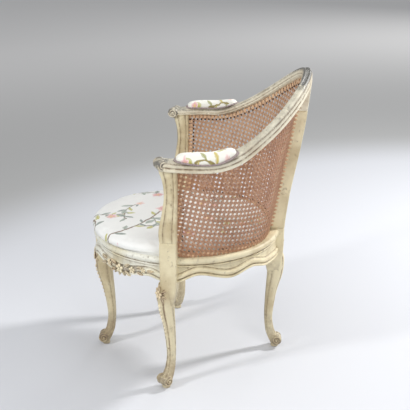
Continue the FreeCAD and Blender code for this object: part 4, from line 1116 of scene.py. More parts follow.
@dataclass
class CabrioleLegs:
    """The four cabriole legs with their blocks, moulded edges, scroll feet and carved knees."""

    stations: Rows = (
        (0.012, 0.011, 0.026, 0.028), (0.03, 0.007, 0.034, 0.03), (0.055, -0.005, 0.027, 0.027),
        (0.095, -0.011, 0.024, 0.024), (0.145, -0.009, 0.028, 0.027), (0.198, -0.003, 0.035, 0.031),
        (0.252, 0.006, 0.047, 0.036), (0.3, 0.008, 0.05, 0.039), (0.332, 0.002, 0.046, 0.041))
    rings: int = 56
    points: int = 44
    scroll_radius: float = 0.016
    scroll_shift: float = 0.017
    scroll_height: float = 0.025
    scroll_half: float = 0.019
    pad_shift: float = 0.011
    foot_stain: float = 0.55
    bead: float = 0.002
    groove: float = 0.0021
    rear_groove: float = 0.001
    knee_height: float = 0.302
    husks: int = 9
    husk_top: float = 0.266
    husk_pitch: float = 0.0125
    block_foot: Rows = ((0.262, 0.0135), (0.284, 0.0092), (0.304, 0.0044), (0.33, 0.0))

    def moulded(self, turn: float) -> tuple[float, float]:
        """Returns how far the shaft's surface stands out at a turn from its toe side, and the dirt there."""
        off = abs((turn + 180.0) % 360.0 - 180.0)
        bead = self.bead * exp(-(off / 12.0) ** 2)
        groove = exp(-((off - 27.0) / 7.0) ** 2)
        rear = exp(-((off - 118.0) / 9.0) ** 2)
        return bead - self.groove * groove - self.rear_groove * rear, min(1.0, 1.1 * groove + 0.7 * rear)

    def shaft(self, work: Sculptor, foot: Vector, out: Vector, across: Vector) -> None:
        """Lofts the S-shaped shaft from its foot up into the block."""
        rings = []
        dirt = []
        for height in spaced(self.stations[0][0], self.stations[-1][0], self.rings):
            shift, depth, width = flowing_curve(self.stations, height)
            ring = []
            row = []
            for a, b in rounded_box_ring(depth, width, 2.8, self.points):
                turn = degrees(atan2(b, a))
                proud, patina = self.moulded(turn)
                share = 1.0 + proud / hypot(a, b)
                ring.append(foot + out * (shift + a * share) + across * (b * share) + UP * height)
                row.append(patina)
            rings.append(ring)
            dirt.append(row)
        stains = [self.foot_stain * smooth(1.0 - row / 24) for row in range(self.rings)]
        work.skin(rings, lambda row, column: (max(dirt[row][column], stains[row]),
                                              0.15 if row < 18 else 0.0))

    def scroll(self, work: Sculptor, foot: Vector, out: Vector, across: Vector) -> None:
        """Builds the foot's scroll with a spiral on each end, and the turned pad under it."""
        middle = foot + out * self.scroll_shift + UP * self.scroll_height
        spiral_drum(work, middle, across, out, self.scroll_radius, self.scroll_half, stain=0.5, rub=0.35)
        pad = foot + out * self.pad_shift
        rings = [[pad + out * (radius * cos(turn)) + across * (radius * sin(turn)) + UP * height
                  for turn in circle(20)]
                 for height, radius in ((0.0, 0.0108), (0.0012, 0.012), (0.006, 0.0122), (0.009, 0.0112),
                                        (0.015, 0.01))]
        work.skin(rings, lambda row, column: (0.9 if row in (0, 4) else 0.3, 0.2))

    def block(self, work: Sculptor, leg: Leg) -> None:
        """Builds the leg's square block, and on the side legs the post that carries the arm stump."""
        psi = leg.value.block_psi
        out = CHAIR.outward(psi)
        across = UP.cross(out)
        if leg in (Leg.LEFT, Leg.RIGHT):
            edge, shoulder, top = CHAIR.post_inner, 0.455, CHAIR.post_top
        else:
            edge, shoulder, top = CHAIR.well_edge(psi), 0.4065, CHAIR.rail_top
        spans = [(height, CHAIR.rail_inner, draw) for height, draw in self.block_foot]
        spans += [(CHAIR.ledge - 0.0005, CHAIR.rail_inner, 0.0), (CHAIR.ledge, edge, 0.0),
                  (shoulder, edge, 0.0), (top, edge, 0.0012)]
        rings = []
        for height, back, draw in spans:
            middle = (back + leg.value.outer) / 2
            ring = rounded_box_ring(leg.value.outer - back - 2 * draw, leg.value.width - 2 * draw, 9.0, 40)
            rings.append([CHAIR.at(middle, psi, height) + out * a + across * b for a, b in ring])
        work.skin(rings, lambda row, column: (0.3 if row < 2 else 0.0, 0.0), held=True)

    def knee(self, carver: Carver, foot: Vector, out: Vector, across: Vector) -> None:
        """Carves the flower, its leaves and the string of husks down the front of a knee."""
        def front(height: float) -> Vector:
            """Returns the front of the shaft at a height."""
            shift, depth, _ = flowing_curve(self.stations, height)
            return foot + out * (shift + depth / 2 + 0.0012) + UP * height

        middle = front(self.knee_height)
        carver.rosette(middle, out, UP, 0.0135)
        for turn, length in ((30, 0.017), (150, 0.017), (90, 0.02), (212, 0.018), (328, 0.018), (245, 0.022),
                             (295, 0.022)):
            lean = cos(radians(turn))
            along = (across * lean - out * (0.5 * abs(lean)) + UP * sin(radians(turn))).normalized()
            normal = (out + across * (0.5 * lean)).normalized()
            carver.leaf(middle + along * 0.008, along, normal, length, 0.01, 0.0045)
        for index, size in enumerate(spaced(1.0, 0.55, self.husks)):
            axes = (UP * (0.0062 * size), across * (0.0052 * size), out * (0.004 * size))
            carver.work.blob(front(self.husk_top - self.husk_pitch * index), axes, 0.5)

    def build(self, palette: Palette) -> None:
        """Makes the four legs."""
        for leg in Leg:
            node = f"{leg.name.lower()}_leg"
            foot = CHAIR.at(leg.value.radius, leg.value.shaft_psi, 0.0)
            out = CHAIR.outward(leg.value.toe_psi)
            across = UP.cross(out)
            work = Sculptor(f"{node}_carved")
            self.shaft(work, foot, out, across)
            self.scroll(work, foot, out, across)
            self.block(work, leg)
            if leg is not Leg.BACK:
                carving = Sculptor(f"{node}_knee_carving")
                self.knee(Carver(carving), foot, out, across)
                carving.finish_wood(palette.carved)
            work.finish_wood(palette.paint, node)


def spiral_drum(work: Sculptor, middle: Vector, axis: Vector, toe: Vector, radius: float, half: float,
                turns: float = 1.6, stain: float = 0.15, rub: float = 1.0) -> None:
    """Builds a scroll: a grooved drum with a raised spiral and an eye on both ends.

    Args:
        work: the piece that it belongs to.
        middle: the drum's middle.
        axis: the direction of its axis.
        toe: a direction across the axis, where the spirals begin.
        radius: the drum's radius.
        half: half of its width.
        turns: the turns of each spiral.
        stain: the dirt all over it.
        rub: how far its paint is rubbed off.
    """
    side = axis.cross(toe).normalized()
    rows = ((-1.0, 0.7, 0.9), (-0.985, 0.8, 0.5), (-0.93, 0.93, 0.1), (-0.8, 1.0, 0.0), (-0.62, 0.99, 0.1),
            (-0.54, 0.9, 1.0), (-0.44, 0.95, 0.4), (-0.2, 1.0, 0.0), (0.0, 1.01, 0.0))
    rows = rows + tuple((-place, share, dirt) for place, share, dirt in reversed(rows[:-1]))
    rings = [[middle + axis * (half * place) + (toe * cos(turn) + side * sin(turn)) * (radius * share)
              for turn in circle(28)] for place, share, _ in rows]
    work.skin(rings, lambda row, column: (min(1.0, rows[row][2] + stain), rub))
    for end in (-1.0, 1.0):
        path = []
        thick = []
        for share in spaced(0.0, 1.0, 31):
            reach = radius * between(0.86, 0.2, share)
            turn = 2 * pi * turns * share
            path.append(middle + axis * (end * half * between(0.97, 1.03, share))
                        + toe * (reach * cos(turn)) + side * (reach * sin(turn)) * end)
            thick.append(radius * between(0.16, 0.09, share))
        work.tube(path, thick, axis * end, 6, patina=0.25 + 0.5 * stain)
        work.blob(middle + axis * (end * half * 1.02),
                  (toe * radius * 0.2, side * radius * 0.2, axis * end * radius * 0.16), 1.0)


@dataclass
class ArmStumps:
    """The two S-shaped arm stumps, moulded along their edges and fluted under the volutes."""

    stations: Rows = (
        (0.457, 0.024, 0.025), (0.492, 0.0245, 0.0255), (0.545, 0.014, 0.0275), (0.592, 0.007, 0.029),
        (0.635, 0.009, 0.03), (0.676, 0.019, 0.03), (0.69, 0.021, 0.03))
    thick: float = 0.0255
    bend: float = 0.55
    rings: int = 34
    face: Profile = mouldings(
        (0.4, 0.03), (0.49, 0.1), (0.5, 0.17), (0.49, 0.215, 0.3), (0.435, 0.245, 1.0),
        (0.465, 0.28, 0.3), (0.478, 0.4), (0.478, 0.6), (0.465, 0.72, 0.3), (0.435, 0.755, 1.0),
        (0.49, 0.785, 0.3), (0.5, 0.83), (0.49, 0.92), (0.4, 0.985))
    flutes: tuple[float, ...] = (0.27, 0.0, -0.27)
    flute_half: float = 0.11
    flute_start: float = 0.56
    flute_fade: float = 0.06
    bend_start: float = 0.53
    bend_fade: float = 0.14

    def profile(self, height: float) -> list[Moulding]:
        """Returns the closed section at a height, as shares of the thickness and of the width."""
        flute = smooth((height - self.flute_start) / self.flute_fade)
        points = list(self.face)
        points += [Moulding(0.2, 1.0), Moulding(-0.2, 1.0)]
        points += [Moulding(-point.across, point.rise, point.patina) for point in reversed(self.face)]
        for centre in reversed(self.flutes):
            points += [Moulding(centre - self.flute_half, 0.0, 0.3, 0.9 * flute),
                       Moulding(centre, 0.16 * flute, flute, 2.2 * flute),
                       Moulding(centre + self.flute_half, 0.0, 0.3, 0.9 * flute)]
        return points

    def build(self, palette: Palette) -> None:
        """Makes both stumps."""
        out = CHAIR.outward(CHAIR.side_psi)
        rear = out.cross(UP) * -1.0
        for side in Side:
            rings = []
            profiles = []
            for height in spaced(self.stations[0][0], self.stations[-1][0], self.rings):
                ahead, behind = flowing_curve(self.stations, height)
                profile = self.profile(height)
                middle = CHAIR.at(CHAIR.stump_middle(height), CHAIR.side_psi, height)
                width = ahead + behind
                bend = self.bend * smooth((height - self.bend_start) / self.bend_fade)
                ring = []
                for point in profile:
                    back = point.rise * width - ahead
                    bent = point.across * self.thick + bend * max(0.0, -back)
                    ring.append(middle + out * bent + rear * back)
                rings.append(ring)
                profiles.append(profile)
            work = Sculptor(f"{side.word}_arm_stump_moulded")
            work.skin(mirror_rings(rings, side), worn_as(profiles), held=True)
            work.finish_wood(palette.paint, f"{side.word}_arm_stump")


@dataclass
class TopRail:
    """The top rail: two arms that end in volutes and the crest, beaded outside and fluted on top."""

    step: float = 1.4
    volute_radius: float = 0.017
    volute_half: float = 0.021
    volute_height: float = 0.685
    volute_shift: float = 0.013
    volute_turn: float = 30.0
    volute_turns: float = 1.75
    volute_out: float = 0.004
    taper: float = 8.0
    outside: Profile = mouldings(
        (0.86, -1.0, 0.2), (1.0, -0.94), (1.06, -0.66), (1.03, -0.38, 0.2), (0.9, -0.26, 1.0),
        (0.88, -0.18, 1.0), (1.0, -0.08, 0.3), (1.05, 0.16, 0.0, 0.15), (1.0, 0.42, 0.2, 0.3),
        (0.88, 0.5, 1.0, 0.3), (0.88, 0.58, 0.8, 0.4))
    inside: Profile = mouldings(
        (-0.9, 0.6, 0.6, 0.5), (-0.99, 0.5, 0.2, 0.3), (-1.02, 0.28), (-1.0, 0.1, 0.3),
        (-0.92, 0.02, 0.9), (-1.0, -0.06, 0.2), (-1.0, -0.2), (-0.96, -0.3, 0.3))
    top: Rows = (
        (0.8, 0.82), (0.6, 0.95), (0.42, 1.0), (0.3, 1.0), (0.18, 1.0), (0.06, 1.0), (-0.06, 1.0),
        (-0.18, 1.0), (-0.32, 1.0), (-0.56, 0.97), (-0.78, 0.84))
    flute_columns: tuple[int, ...] = (3, 5, 7)
    flute_depth: float = 0.26
    flute_end: float = 24.0
    flute_fade: float = 12.0
    front_rub_start: float = 93.0
    front_rub_fade: float = 4.0
    narrowing: float = 0.22

    def profile(self, psi: float) -> list[Moulding]:
        """Returns the closed section at a bearing, as shares of the half width and the half height."""
        crest = smooth((self.flute_end - abs(psi)) / self.flute_fade)
        front = smooth((abs(psi) - self.front_rub_start) / self.front_rub_fade)
        grey = max(2.4 * crest, 0.4 + 0.8 * front)
        points = list(self.outside)
        for index, (across, rise) in enumerate(self.top):
            cut = crest if index in self.flute_columns else 0.0
            points.append(Moulding(across, rise - self.flute_depth * cut, 0.9 * cut, grey))
        points += self.inside
        lift = CHAIR.top_slant(psi) / (CHAIR.top_thick(psi) / 2)
        points += [Moulding(-0.9, -1.0 + lift, 0.3), Moulding(0.0, -1.0 + lift * 0.5, 0.3)]
        return points

    def rings(self, start: float, end: float) -> tuple[list[Ring], list[list[Moulding]]]:
        """Returns the rings of a stretch of the rail, and the profiles that they follow."""
        rings = []
        profiles = []
        for psi in spaced(start, end, round((end - start) / self.step) + 1):
            middle, out, up = CHAIR.top_frame(psi)
            narrowed = 1.0 - self.narrowing * smooth((abs(psi) - CHAIR.arm_front + self.taper) / self.taper)
            half, rise = CHAIR.top_width(psi) / 2 * narrowed, CHAIR.top_thick(psi) / 2
            profile = self.profile(psi)
            rings.append([middle + out * (half * point.across) + up * (rise * point.rise)
                          for point in profile])
            profiles.append(profile)
        return rings, profiles

    def build(self, palette: Palette) -> None:
        """Makes the arms and the crest."""
        rings, profiles = self.rings(CHAIR.crest_bearing, CHAIR.arm_front)
        out = CHAIR.outward(CHAIR.side_psi)
        ahead = out.cross(UP)
        middle = CHAIR.at(CHAIR.stump_middle(self.volute_height), CHAIR.side_psi, self.volute_height)
        middle = middle + ahead * self.volute_shift + out * self.volute_out
        axis = CHAIR.outward(CHAIR.side_psi - self.volute_turn)
        toe = axis.cross(UP)
        for side in Side:
            work = Sculptor(f"{side.word}_arm_rail_moulded")
            work.skin(mirror_rings(rings, side), worn_as(profiles), held=True)
            stance = [mirror_point(point, side) for point in (middle, axis, toe)]
            spiral_drum(work, *stance, self.volute_radius, self.volute_half, self.volute_turns)
            work.finish_wood(palette.rail_paint, f"{side.word}_arm_rail")
        rings, profiles = self.rings(-CHAIR.crest_bearing, CHAIR.crest_bearing)
        work = Sculptor("crest_rail_moulded")
        work.skin(rings, worn_as(profiles), held=True)
        upright = BackUpright()
        upright.loft(work, upright.tail)
        work.finish_wood(palette.rail_paint, "crest_rail")


@dataclass
class BackUpright:
    """The upright at the middle of the back, flat outside, with a beaded edge along the cane."""

    tail: Rows = (
        (0.768, 0.33, 0.043), (0.8, 0.337, 0.037), (0.835, 0.344, 0.03), (0.862, 0.3485, 0.026))
    stations: Rows = (
        (0.408, 0.272, 0.046), (0.51, 0.283, 0.048), (0.6, 0.299, 0.05), (0.69, 0.317, 0.047),
        (0.768, 0.33, 0.043))
    step: float = 0.012
    face: Profile = mouldings(
        (-1.0, 0.3), (-1.0, 0.42), (-0.95, 0.49), (-0.84, 0.5), (-0.76, 0.49, 0.4), (-0.72, 0.455, 0.9),
        (-0.66, 0.475, 0.3), (-0.3, 0.485), (0.0, 0.488))

    def loft(self, work: Sculptor, stations: Sequence[Row]) -> None:
        """Lofts the upright's section through a list of stations."""
        half = [*self.face, *(Moulding(-p.across, p.rise, p.patina) for p in reversed(self.face[:-1]))]
        profile = half + [Moulding(p.across, -p.rise, p.patina) for p in reversed(half)]
        low, high = stations[0][0], stations[-1][0]
        rings = []
        for height in spaced(low, high, max(4, round((high - low) / self.step)) + 1):
            radius, depth = flowing_curve(stations, height)
            rings.append([CHAIR.at(radius, 0.0, height)
                          + Vector((point.across * CHAIR.upright_width / 2, point.rise * depth, 0.0))
                          for point in profile])
        work.skin(rings, lambda row, column: (profile[column].patina, 0.0), held=True)

    def build(self, palette: Palette) -> None:
        """Makes the upright."""
        work = Sculptor("back_upright_moulded")
        self.loft(work, self.stations)
        work.finish_wood(palette.paint, "back_upright")


class Run(NamedTuple):
    """A strand's straight way over the flat sheet of cane, with the sign of its weave and its tone."""

    start: Vector
    end: Vector
    sign: float
    tone: float


class Lump(NamedTuple):
    """A small lump by the cane's edge: its way in, offset outwards, half axes and outside share of painted
    shade.
    """

    reach: float
    proud: float
    sizes: Triple
    # How much of the cane's painted shade it takes, towards its foot.
    outside: float = 0.0


@dataclass
class CanePanels:
    """The two panels of woven cane: flat sheets of paired strands and diagonals, wrapped on a cone."""

    pitch: float = 0.0135
    columns: int = 40
    lowest_row: int = -6
    rows: int = 37
    mean_radius: float = 0.292
    pair: float = 0.0019
    pair_width: float = 0.0024
    slant_width: float = 0.0024
    thick: float = 0.0005
    ripple: float = 0.0004
    tuck: float = 0.003
    bind_pitch: float = 0.012
    # The loops lie on the outside, so they take the painted shade.
    loop: Lump = Lump(0.002, 0.001, (0.0042, 0.004, 0.0085), 1.0)
    loop_tone: float = 0.6
    stitch: Lump = Lump(0.0095, -0.0018, (0.005, 0.008, 0.0013))
    # A dark lump of painted shadow, where a hole in the frame shows only shade.
    hole_shadow: Lump = Lump(0.019, -0.0018, (0.003, 0.003, 0.0012))
    pair_layer: float = 0.0002
    slant_layer: float = 0.0009
    pull_height: float = 0.42
    draw_share: float = 0.85
    draw_height: float = 0.25
    rear_growth: float = 0.007
    rear_height: float = 0.22
    rim_depth: float = 0.008
    rim_reach: float = 0.09

    def __post_init__(self) -> None:
        """Works out the cone's slope and apex, and the panel's upper edge at every half degree."""
        self.sine = CHAIR.back_flare / hypot(1.0, CHAIR.back_flare)
        self.cosine = sqrt(1.0 - self.sine ** 2)
        self.apex = CHAIR.cane_radius / self.sine
        self.low = CHAIR.rail_top - 0.001
        self.edge = []
        self.rim = []
        for psi in (half / 2 for half in range(241)):
            self.edge.append(CHAIR.top_underside(psi) + 0.75 * CHAIR.top_slant(psi) + self.tuck)
            middle = CHAIR.top_middle(psi)
            radius = hypot(middle.x, middle.y - CHAIR.axis_y)
            self.rim.append(radius - CHAIR.top_width(psi) / 2 + self.rim_depth)

    def start(self, height: float) -> float:
        """Returns the bearing of the upright's edge at a height."""
        share = (height - self.low) / self.pull_height
        radius = CHAIR.cone(height) - between(CHAIR.cane_pull, CHAIR.cane_pull_high, share)
        return degrees(asin((CHAIR.upright_width / 2 - self.tuck) / radius))

    def end(self, height: float) -> float:
        """Returns the bearing of the stump's rear edge at a height."""
        drawn = CHAIR.front_draw * self.draw_share * smooth((height - self.low) / self.draw_height)
        grown = self.rear_growth * smooth((height - CHAIR.rail_top) / self.rear_height)
        rear = CHAIR.stump_rear + grown - self.tuck
        reach = degrees(asin(rear / (CHAIR.cone(height) - drawn)))
        return CHAIR.side_psi - reach

    def looked_up(self, values: Sequence[float], psi: float) -> float:
        """Returns a value that is known at every half degree, at a bearing."""
        half = min(max(psi * 2, 0.0), 239.0)
        index = int(half)
        return between(values[index], values[index + 1], half - index)

    def top(self, psi: float) -> float:
        """Returns the height of the panel's upper edge at a bearing."""
        return self.looked_up(self.edge, psi)

    def surface(self, psi: float, height: float, proud: float) -> Vector:
        """Returns the point of the panel at a bearing and a height, moved out by a small offset."""
        share = min(1.0, (height - self.low) / (self.top(psi) - self.low))
        drawn = 1.0 - smooth((psi - self.start(height)) / CHAIR.cane_pull_reach)
        high = CHAIR.cane_pull_high * drawn + CHAIR.front_draw * CHAIR.front_share(psi)
        radius = CHAIR.cone(height) - between(CHAIR.cane_pull * drawn, high, share)
        short = max(0.0, self.looked_up(self.rim, psi) - radius)
        radius += short * smooth(1.0 - (self.top(psi) - height) / self.rim_reach)
        return CHAIR.at(radius + proud, psi, height)

    def inside(self, psi: float, height: float) -> bool:
        """Tells whether a place is on the panel."""
        return self.low <= height <= self.top(psi) and self.start(height) <= psi <= self.end(height)

    def placed(self, spot: Vector) -> tuple[float, float]:
        """Returns the bearing and the height of a place on the flat sheet, once it is wrapped on the cone."""
        reach = self.apex + spot.y
        psi = degrees(atan2(spot.x, reach)) / self.sine
        return psi, CHAIR.rail_top + (hypot(spot.x, reach) - self.apex) * self.cosine

    def clipped(self, spot: Vector, way: Vector, sign: float, tone: float) -> list[Run]:
        """Returns the stretches of a straight line over the flat sheet that lie on the panel.

        Args:
            spot: a place on the line, in lattice steps.
            way: the line's direction, in lattice steps.
            sign: the sign of its weave.
            tone: its own tone, from 0 to 1.

        Returns:
            A list of runs.
        """
        runs: list[Run] = []
        begun: Vector | None = None
        previous = spot
        for index in range(-6 * self.columns, 6 * self.columns + 1):
            place = (spot + way * (index / 6)) * self.pitch
            if self.inside(*self.placed(place)):
                begun = begun or place
            elif begun:
                runs.append(Run(begun, previous, sign, tone))
                begun = None
            previous = place
        return [run for run in runs if (run.end - run.start).length > self.pitch * 0.8]

    def lay(self, work: Sculptor, runs: Sequence[Run], offset: float, width: float, layer: float,
            lift: Callable[[Vector, float], float]) -> None:
        """Lays flat strands, crowned across, along their runs.

        Args:
            work: the panel's piece.
            runs: the runs of all the strands.
            offset: a shift of every strand to its side.
            width: the strands' width.
            layer: how far they stand out of the panel.
            lift: the weave, from a place on the sheet and a sign to an offset outwards.
        """
        section = ((-0.5, 0.0), (-0.3, self.thick), (0.3, self.thick), (0.5, 0.0), (0.0, -self.thick * 0.6))
        # The strands' outer faces take the cane's painted shade, through the patina channel.
        outside = [1.0 if crown >= 0.0 else 0.0 for _, crown in section]
        for run in runs:
            way = run.end - run.start
            side = Vector((-way.y, way.x)).normalized()
            samples = max(3, round(2 * way.length / self.pitch) + 1)
            rings = []
            for index in range(samples):
                centre = run.start.lerp(run.end, index / (samples - 1)) + side * offset
                proud = layer + lift(centre, run.sign)
                rings.append([self.surface(*self.placed(centre + side * (share * width)), proud + crown)
                              for share, crown in section])
            for vert in work.skin(rings, lambda row, column: (outside[column], 0.0)):
                vert[work.strand] = run.tone

    def strands(self, work: Sculptor) -> None:
        """Lays the four sets of strands."""
        uprights = []
        for column in range(1, self.columns):
            uprights += self.clipped(Vector((column, 0.0)), Vector((0.0, 1.0)), 1.0 if column % 2 else -1.0,
                                     0.6 + 0.5 * ((column * 0.37) % 1.0))
        levels = []
        for row in range(self.lowest_row, self.rows):
            levels += self.clipped(Vector((self.columns / 2, row)), Vector((1.0, 0.0)),
                                   1.0 if row % 2 else -1.0, 0.6 + 0.5 * ((row * 0.61) % 1.0))
        for side in (-self.pair, self.pair):
            self.lay(work, uprights, side, self.pair_width, -self.pair_layer,
                     lambda spot, sign: self.ripple * sign * cos(pi * spot.y / self.pitch))
            self.lay(work, levels, side, self.pair_width, self.pair_layer,
                     lambda spot, sign: -self.ripple * sign * cos(pi * spot.x / self.pitch))
        for way, layer in ((1.0, self.slant_layer), (-1.0, -self.slant_layer)):
            slants = []
            for index in range(-self.columns, 2 * self.columns):
                slants += self.clipped(Vector((index + 0.5, 0.0)), Vector((way, 1.0)), 1.0,
                                       0.5 * ((index * 0.43) % 1.0))
            self.lay(work, slants, 0.0, self.slant_width, layer,
                     lambda spot, sign: self.ripple * cos(2 * pi * spot.y / self.pitch))

    def border(self) -> list[tuple[float, float, Vector]]:
        """Returns the places along the panel's edge: bearing, height and the way in."""
        places = []
        sweep = degrees(1.0 / self.mean_radius)
        for edge, below, above, way in ((self.start, 0.012, 0.012, sweep), (self.end, 0.018, 0.016, -sweep)):
            height = self.low + below
            while height < self.top(edge(height)) - above:
                places.append((edge(height), height, Vector((way, 0.0))))
                height += self.bind_pitch
        psi = self.start(self.low) + 2.0
        while psi < self.end(self.low) - 1.0:
            places.append((psi, self.low, Vector((0.0, 1.0))))
            places.append((psi, self.top(psi), Vector((0.0, -1.0))))
            psi += self.bind_pitch * sweep
        return places

    def set_lump(self, work: Sculptor, lump: Lump, place: tuple[float, float, Vector],
                 side: Side) -> Verts:
        """Sets a lump by one place of the panel's edge.

        Args:
            work: the piece that it belongs to.
            lump: its size and its distance from the edge.
            place: the edge's bearing and height there and the way in.
            side: the half of the chair.

        Returns:
            The new vertices.
        """
        psi, height, way = place
        out = CHAIR.outward(psi)
        across = UP.cross(out)
        inward, along = (across, UP) if way.x else (UP, across)
        spot = self.surface(psi + way.x * lump.reach, height + way.y * lump.reach, lump.proud)
        axes = (along * lump.sizes[0], inward * lump.sizes[1], out * lump.sizes[2])
        return work.blob(mirror_point(spot, side), [mirror_point(axis, side) for axis in axes],
                         lump.outside, segments=8)

    def edging(self, binding: Sculptor, hole_shadows: Sculptor, side: Side) -> None:
        """Sets stitches and painted hole shadows along the inner edges, loops over the upright's edge
        outside.
        """
        for place in self.border():
            if place[2].x > 0:
                for vert in self.set_lump(binding, self.loop, place, side):
                    vert[binding.strand] = self.loop_tone
            else:
                self.set_lump(binding, self.stitch, place, side)
                self.set_lump(hole_shadows, self.hole_shadow, place, side)

    def build(self, palette: Palette) -> None:
        """Makes both panels, their binding and the painted shadows of their edge holes."""
        left = Sculptor("cane_weave")
        self.strands(left)
        for side in Side:
            work = Sculptor(f"{side.word}_cane_weave")
            for vert in work.add(left.mesh.copy()):
                vert.co = mirror_point(vert.co, side)
            hole_shadows = Sculptor(f"{side.word}_cane_hole_shadows")
            binding = Sculptor(f"{side.word}_cane_binding")
            self.edging(binding, hole_shadows, side)
            work.finish(palette.cane, Body.FRAME, [f"{side.word}_cane_panel"])
            binding.finish(palette.cane, Body.FRAME)
            hole_shadows.finish(palette.hole_shadow, Body.FRAME)


SIMULATED_FRAMES = 20
CLOTH_STIFFNESS = 25.0


def simulated(piece: Piece, voxel: float, pressure: float, cap: float,
              held: Callable[[Vector], float]) -> None:
    """Swells a padded piece by a short cloth simulation and leaves the result in its mesh.

    Args:
        piece: the piece, at the origin.
        voxel: the size of the remesh.
        pressure: the air pressure inside.
        cap: the farthest that a point may move.
        held: how firmly a point is held, from 0 to 1.
    """
    remesh = piece.modifiers.new("even", "REMESH")
    remesh.mode = "VOXEL"
    remesh.voxel_size = voxel
    bake_modifiers(piece)
    rest = [vert.co.copy() for vert in piece.data.vertices]
    group = piece.vertex_groups.new(name="held")
    for index, point in enumerate(rest):
        group.add([index], held(point), "REPLACE")
    cloth = piece.modifiers.new("stuffed", "CLOTH")
    cloth.settings.use_pressure = True
    cloth.settings.uniform_pressure_force = pressure
    cloth.settings.effector_weights.gravity = 0.0
    cloth.settings.vertex_group_mass = group.name
    cloth.settings.tension_stiffness = CLOTH_STIFFNESS
    cloth.settings.compression_stiffness = CLOTH_STIFFNESS
    cloth.settings.quality = 5
    cloth.point_cache.frame_start = 1
    cloth.point_cache.frame_end = SIMULATED_FRAMES
    scene = bpy.context.scene
    for step in range(1, SIMULATED_FRAMES + 1):
        scene.frame_set(step)
    bake_modifiers(piece)
    for vert, start in zip(piece.data.vertices, rest):
        move = vert.co - start
        if move.length > cap:
            vert.co = start + move * (cap / move.length)
    scene.frame_set(1)
    piece.vertex_groups.clear()
    surface = piece.modifiers.new("rounded", "SUBSURF")
    surface.levels = surface.render_levels = 1


def bake_modifiers(piece: Piece) -> None:
    """Puts the result of a piece's modifiers into its mesh and removes them."""
    bpy.context.view_layer.update()
    graph = bpy.context.evaluated_depsgraph_get()
    data = bpy.data.meshes.new_from_object(piece.evaluated_get(graph))
    piece.modifiers.clear()
    piece.data = data
    data.shade_smooth()


@dataclass
class ArmPads:
    """The two upholstered arm pads and the braid around them."""

    front: float = 92.0
    rear: float = 61.0
    width: float = 0.042
    height: float = 0.0215
    end: float = 0.46
    lift: float = 0.0003
    sag: float = 0.007
    spread: float = 0.004
    steps: int = 26
    bead_pitch: float = 0.0042
    bead_radius: float = 0.0023
    bead_swell: float = 0.0006
    row_shift: float = 0.0031

    def section(self, share: float) -> tuple[Vector, Vector, Vector, float]:
        """Returns the pad's base middle, its outward and upward directions and its size at a share of it."""
        psi = between(self.rear, self.front, share)
        middle, out, up = CHAIR.top_frame(psi)
        swell = between(self.end, 1.0, sqrt(max(0.0, 1.0 - (2 * share - 1) ** 4)))
        return middle + up * (CHAIR.top_thick(psi) / 2 + self.lift), out, up, swell

    def build(self, palette: Palette) -> None:
        """Makes the pads and the braids."""
        for side in Side:
            rings = []
            for index in range(self.steps + 1):
                middle, out, up, swell = self.section(index / self.steps)
                half, rise = self.width / 2 * swell, self.height * swell
                over = sin(pi * index / self.steps)
                ring = []
                for turn in (pi * step / 14 for step in range(15)):
                    outer = max(0.0, cos(turn))
                    ring.append(middle + out * (half * cos(turn) + self.spread * over * outer)
                                + up * (rise * sin(turn) ** 0.75 - self.sag * over * outer ** 2))
                ring += [middle + out * (half * share) - up * 0.001 for share in (-0.5, 0.0, 0.5)]
                rings.append(ring)
            work = Sculptor(f"{side.word}_arm_pad")
            work.skin(mirror_rings(rings, side))
            nodes = [f"{side.word}_pad_cover", f"{side.word}_pad_stuffing"]
            pad = work.finish(palette.pad_chintz, Body.FRAME, nodes)
            base = min(vert.co.z for vert in pad.data.vertices)
            simulated(pad, voxel=0.0028, pressure=3.0, cap=0.0025,
                      held=lambda point: 1.0 if point.z < base + 0.004 else 0.0)
            dress(pad, palette.pad_chintz, Body.FRAME)
            self.braid(palette, side)

    def braid(self, palette: Palette, side: Side) -> None:
        """Lays the beaded braid around one pad."""
        outline = []
        for index in range(self.steps + 1):
            middle, out, up, swell = self.section(index / self.steps)
            over = sin(pi * index / self.steps)
            outline.append((middle + out * (self.width / 2 * swell + 0.001 + self.spread * over)
                            + up * (0.0014 - self.sag * over), up))
        for index in range(self.steps, -1, -1):
            middle, out, up, swell = self.section(index / self.steps)
            outline.append((middle - out * (self.width / 2 * swell + 0.002) + up * 0.0014, up))
        corners = [mirror_point(point, side) for point, _ in outline]
        lengths = [0.0]
        for first, second in zip(corners, corners[1:] + corners[:1]):
            lengths.append(lengths[-1] + (second - first).length)
        count = round(lengths[-1] / self.bead_pitch) * 4
        path = []
        for index in range(count):
            reach = lengths[-1] * index / count
            spot = next(i for i in range(len(corners)) if lengths[i + 1] >= reach)
            share = (reach - lengths[spot]) / max(1e-9, lengths[spot + 1] - lengths[spot])
            path.append(corners[spot].lerp(corners[(spot + 1) % len(corners)], share))
        centre = sum(path, Vector()) / count
        work = Sculptor(f"{side.word}_pad_braid")
        for shift, phase in ((0.0, 0.0), (self.row_shift, 0.5)):
            wide = []
            for index, point in enumerate(path):
                ahead, behind = path[(index + 1) % count], path[index - 1]
                away = (ahead - behind).cross(UP).normalized()
                away = away if away.dot(point - centre) > 0 else -away
                wide.append(point + away * shift)
            radii = [self.bead_radius + self.bead_swell * cos(2 * pi * (index / 4 + phase))
                     for index in range(count)]
            work.tube(wide, radii, UP, 8, 0.85, loop=True)
        work.finish(palette.gimp, Body.FRAME, [f"{side.word}_pad_gimp"])


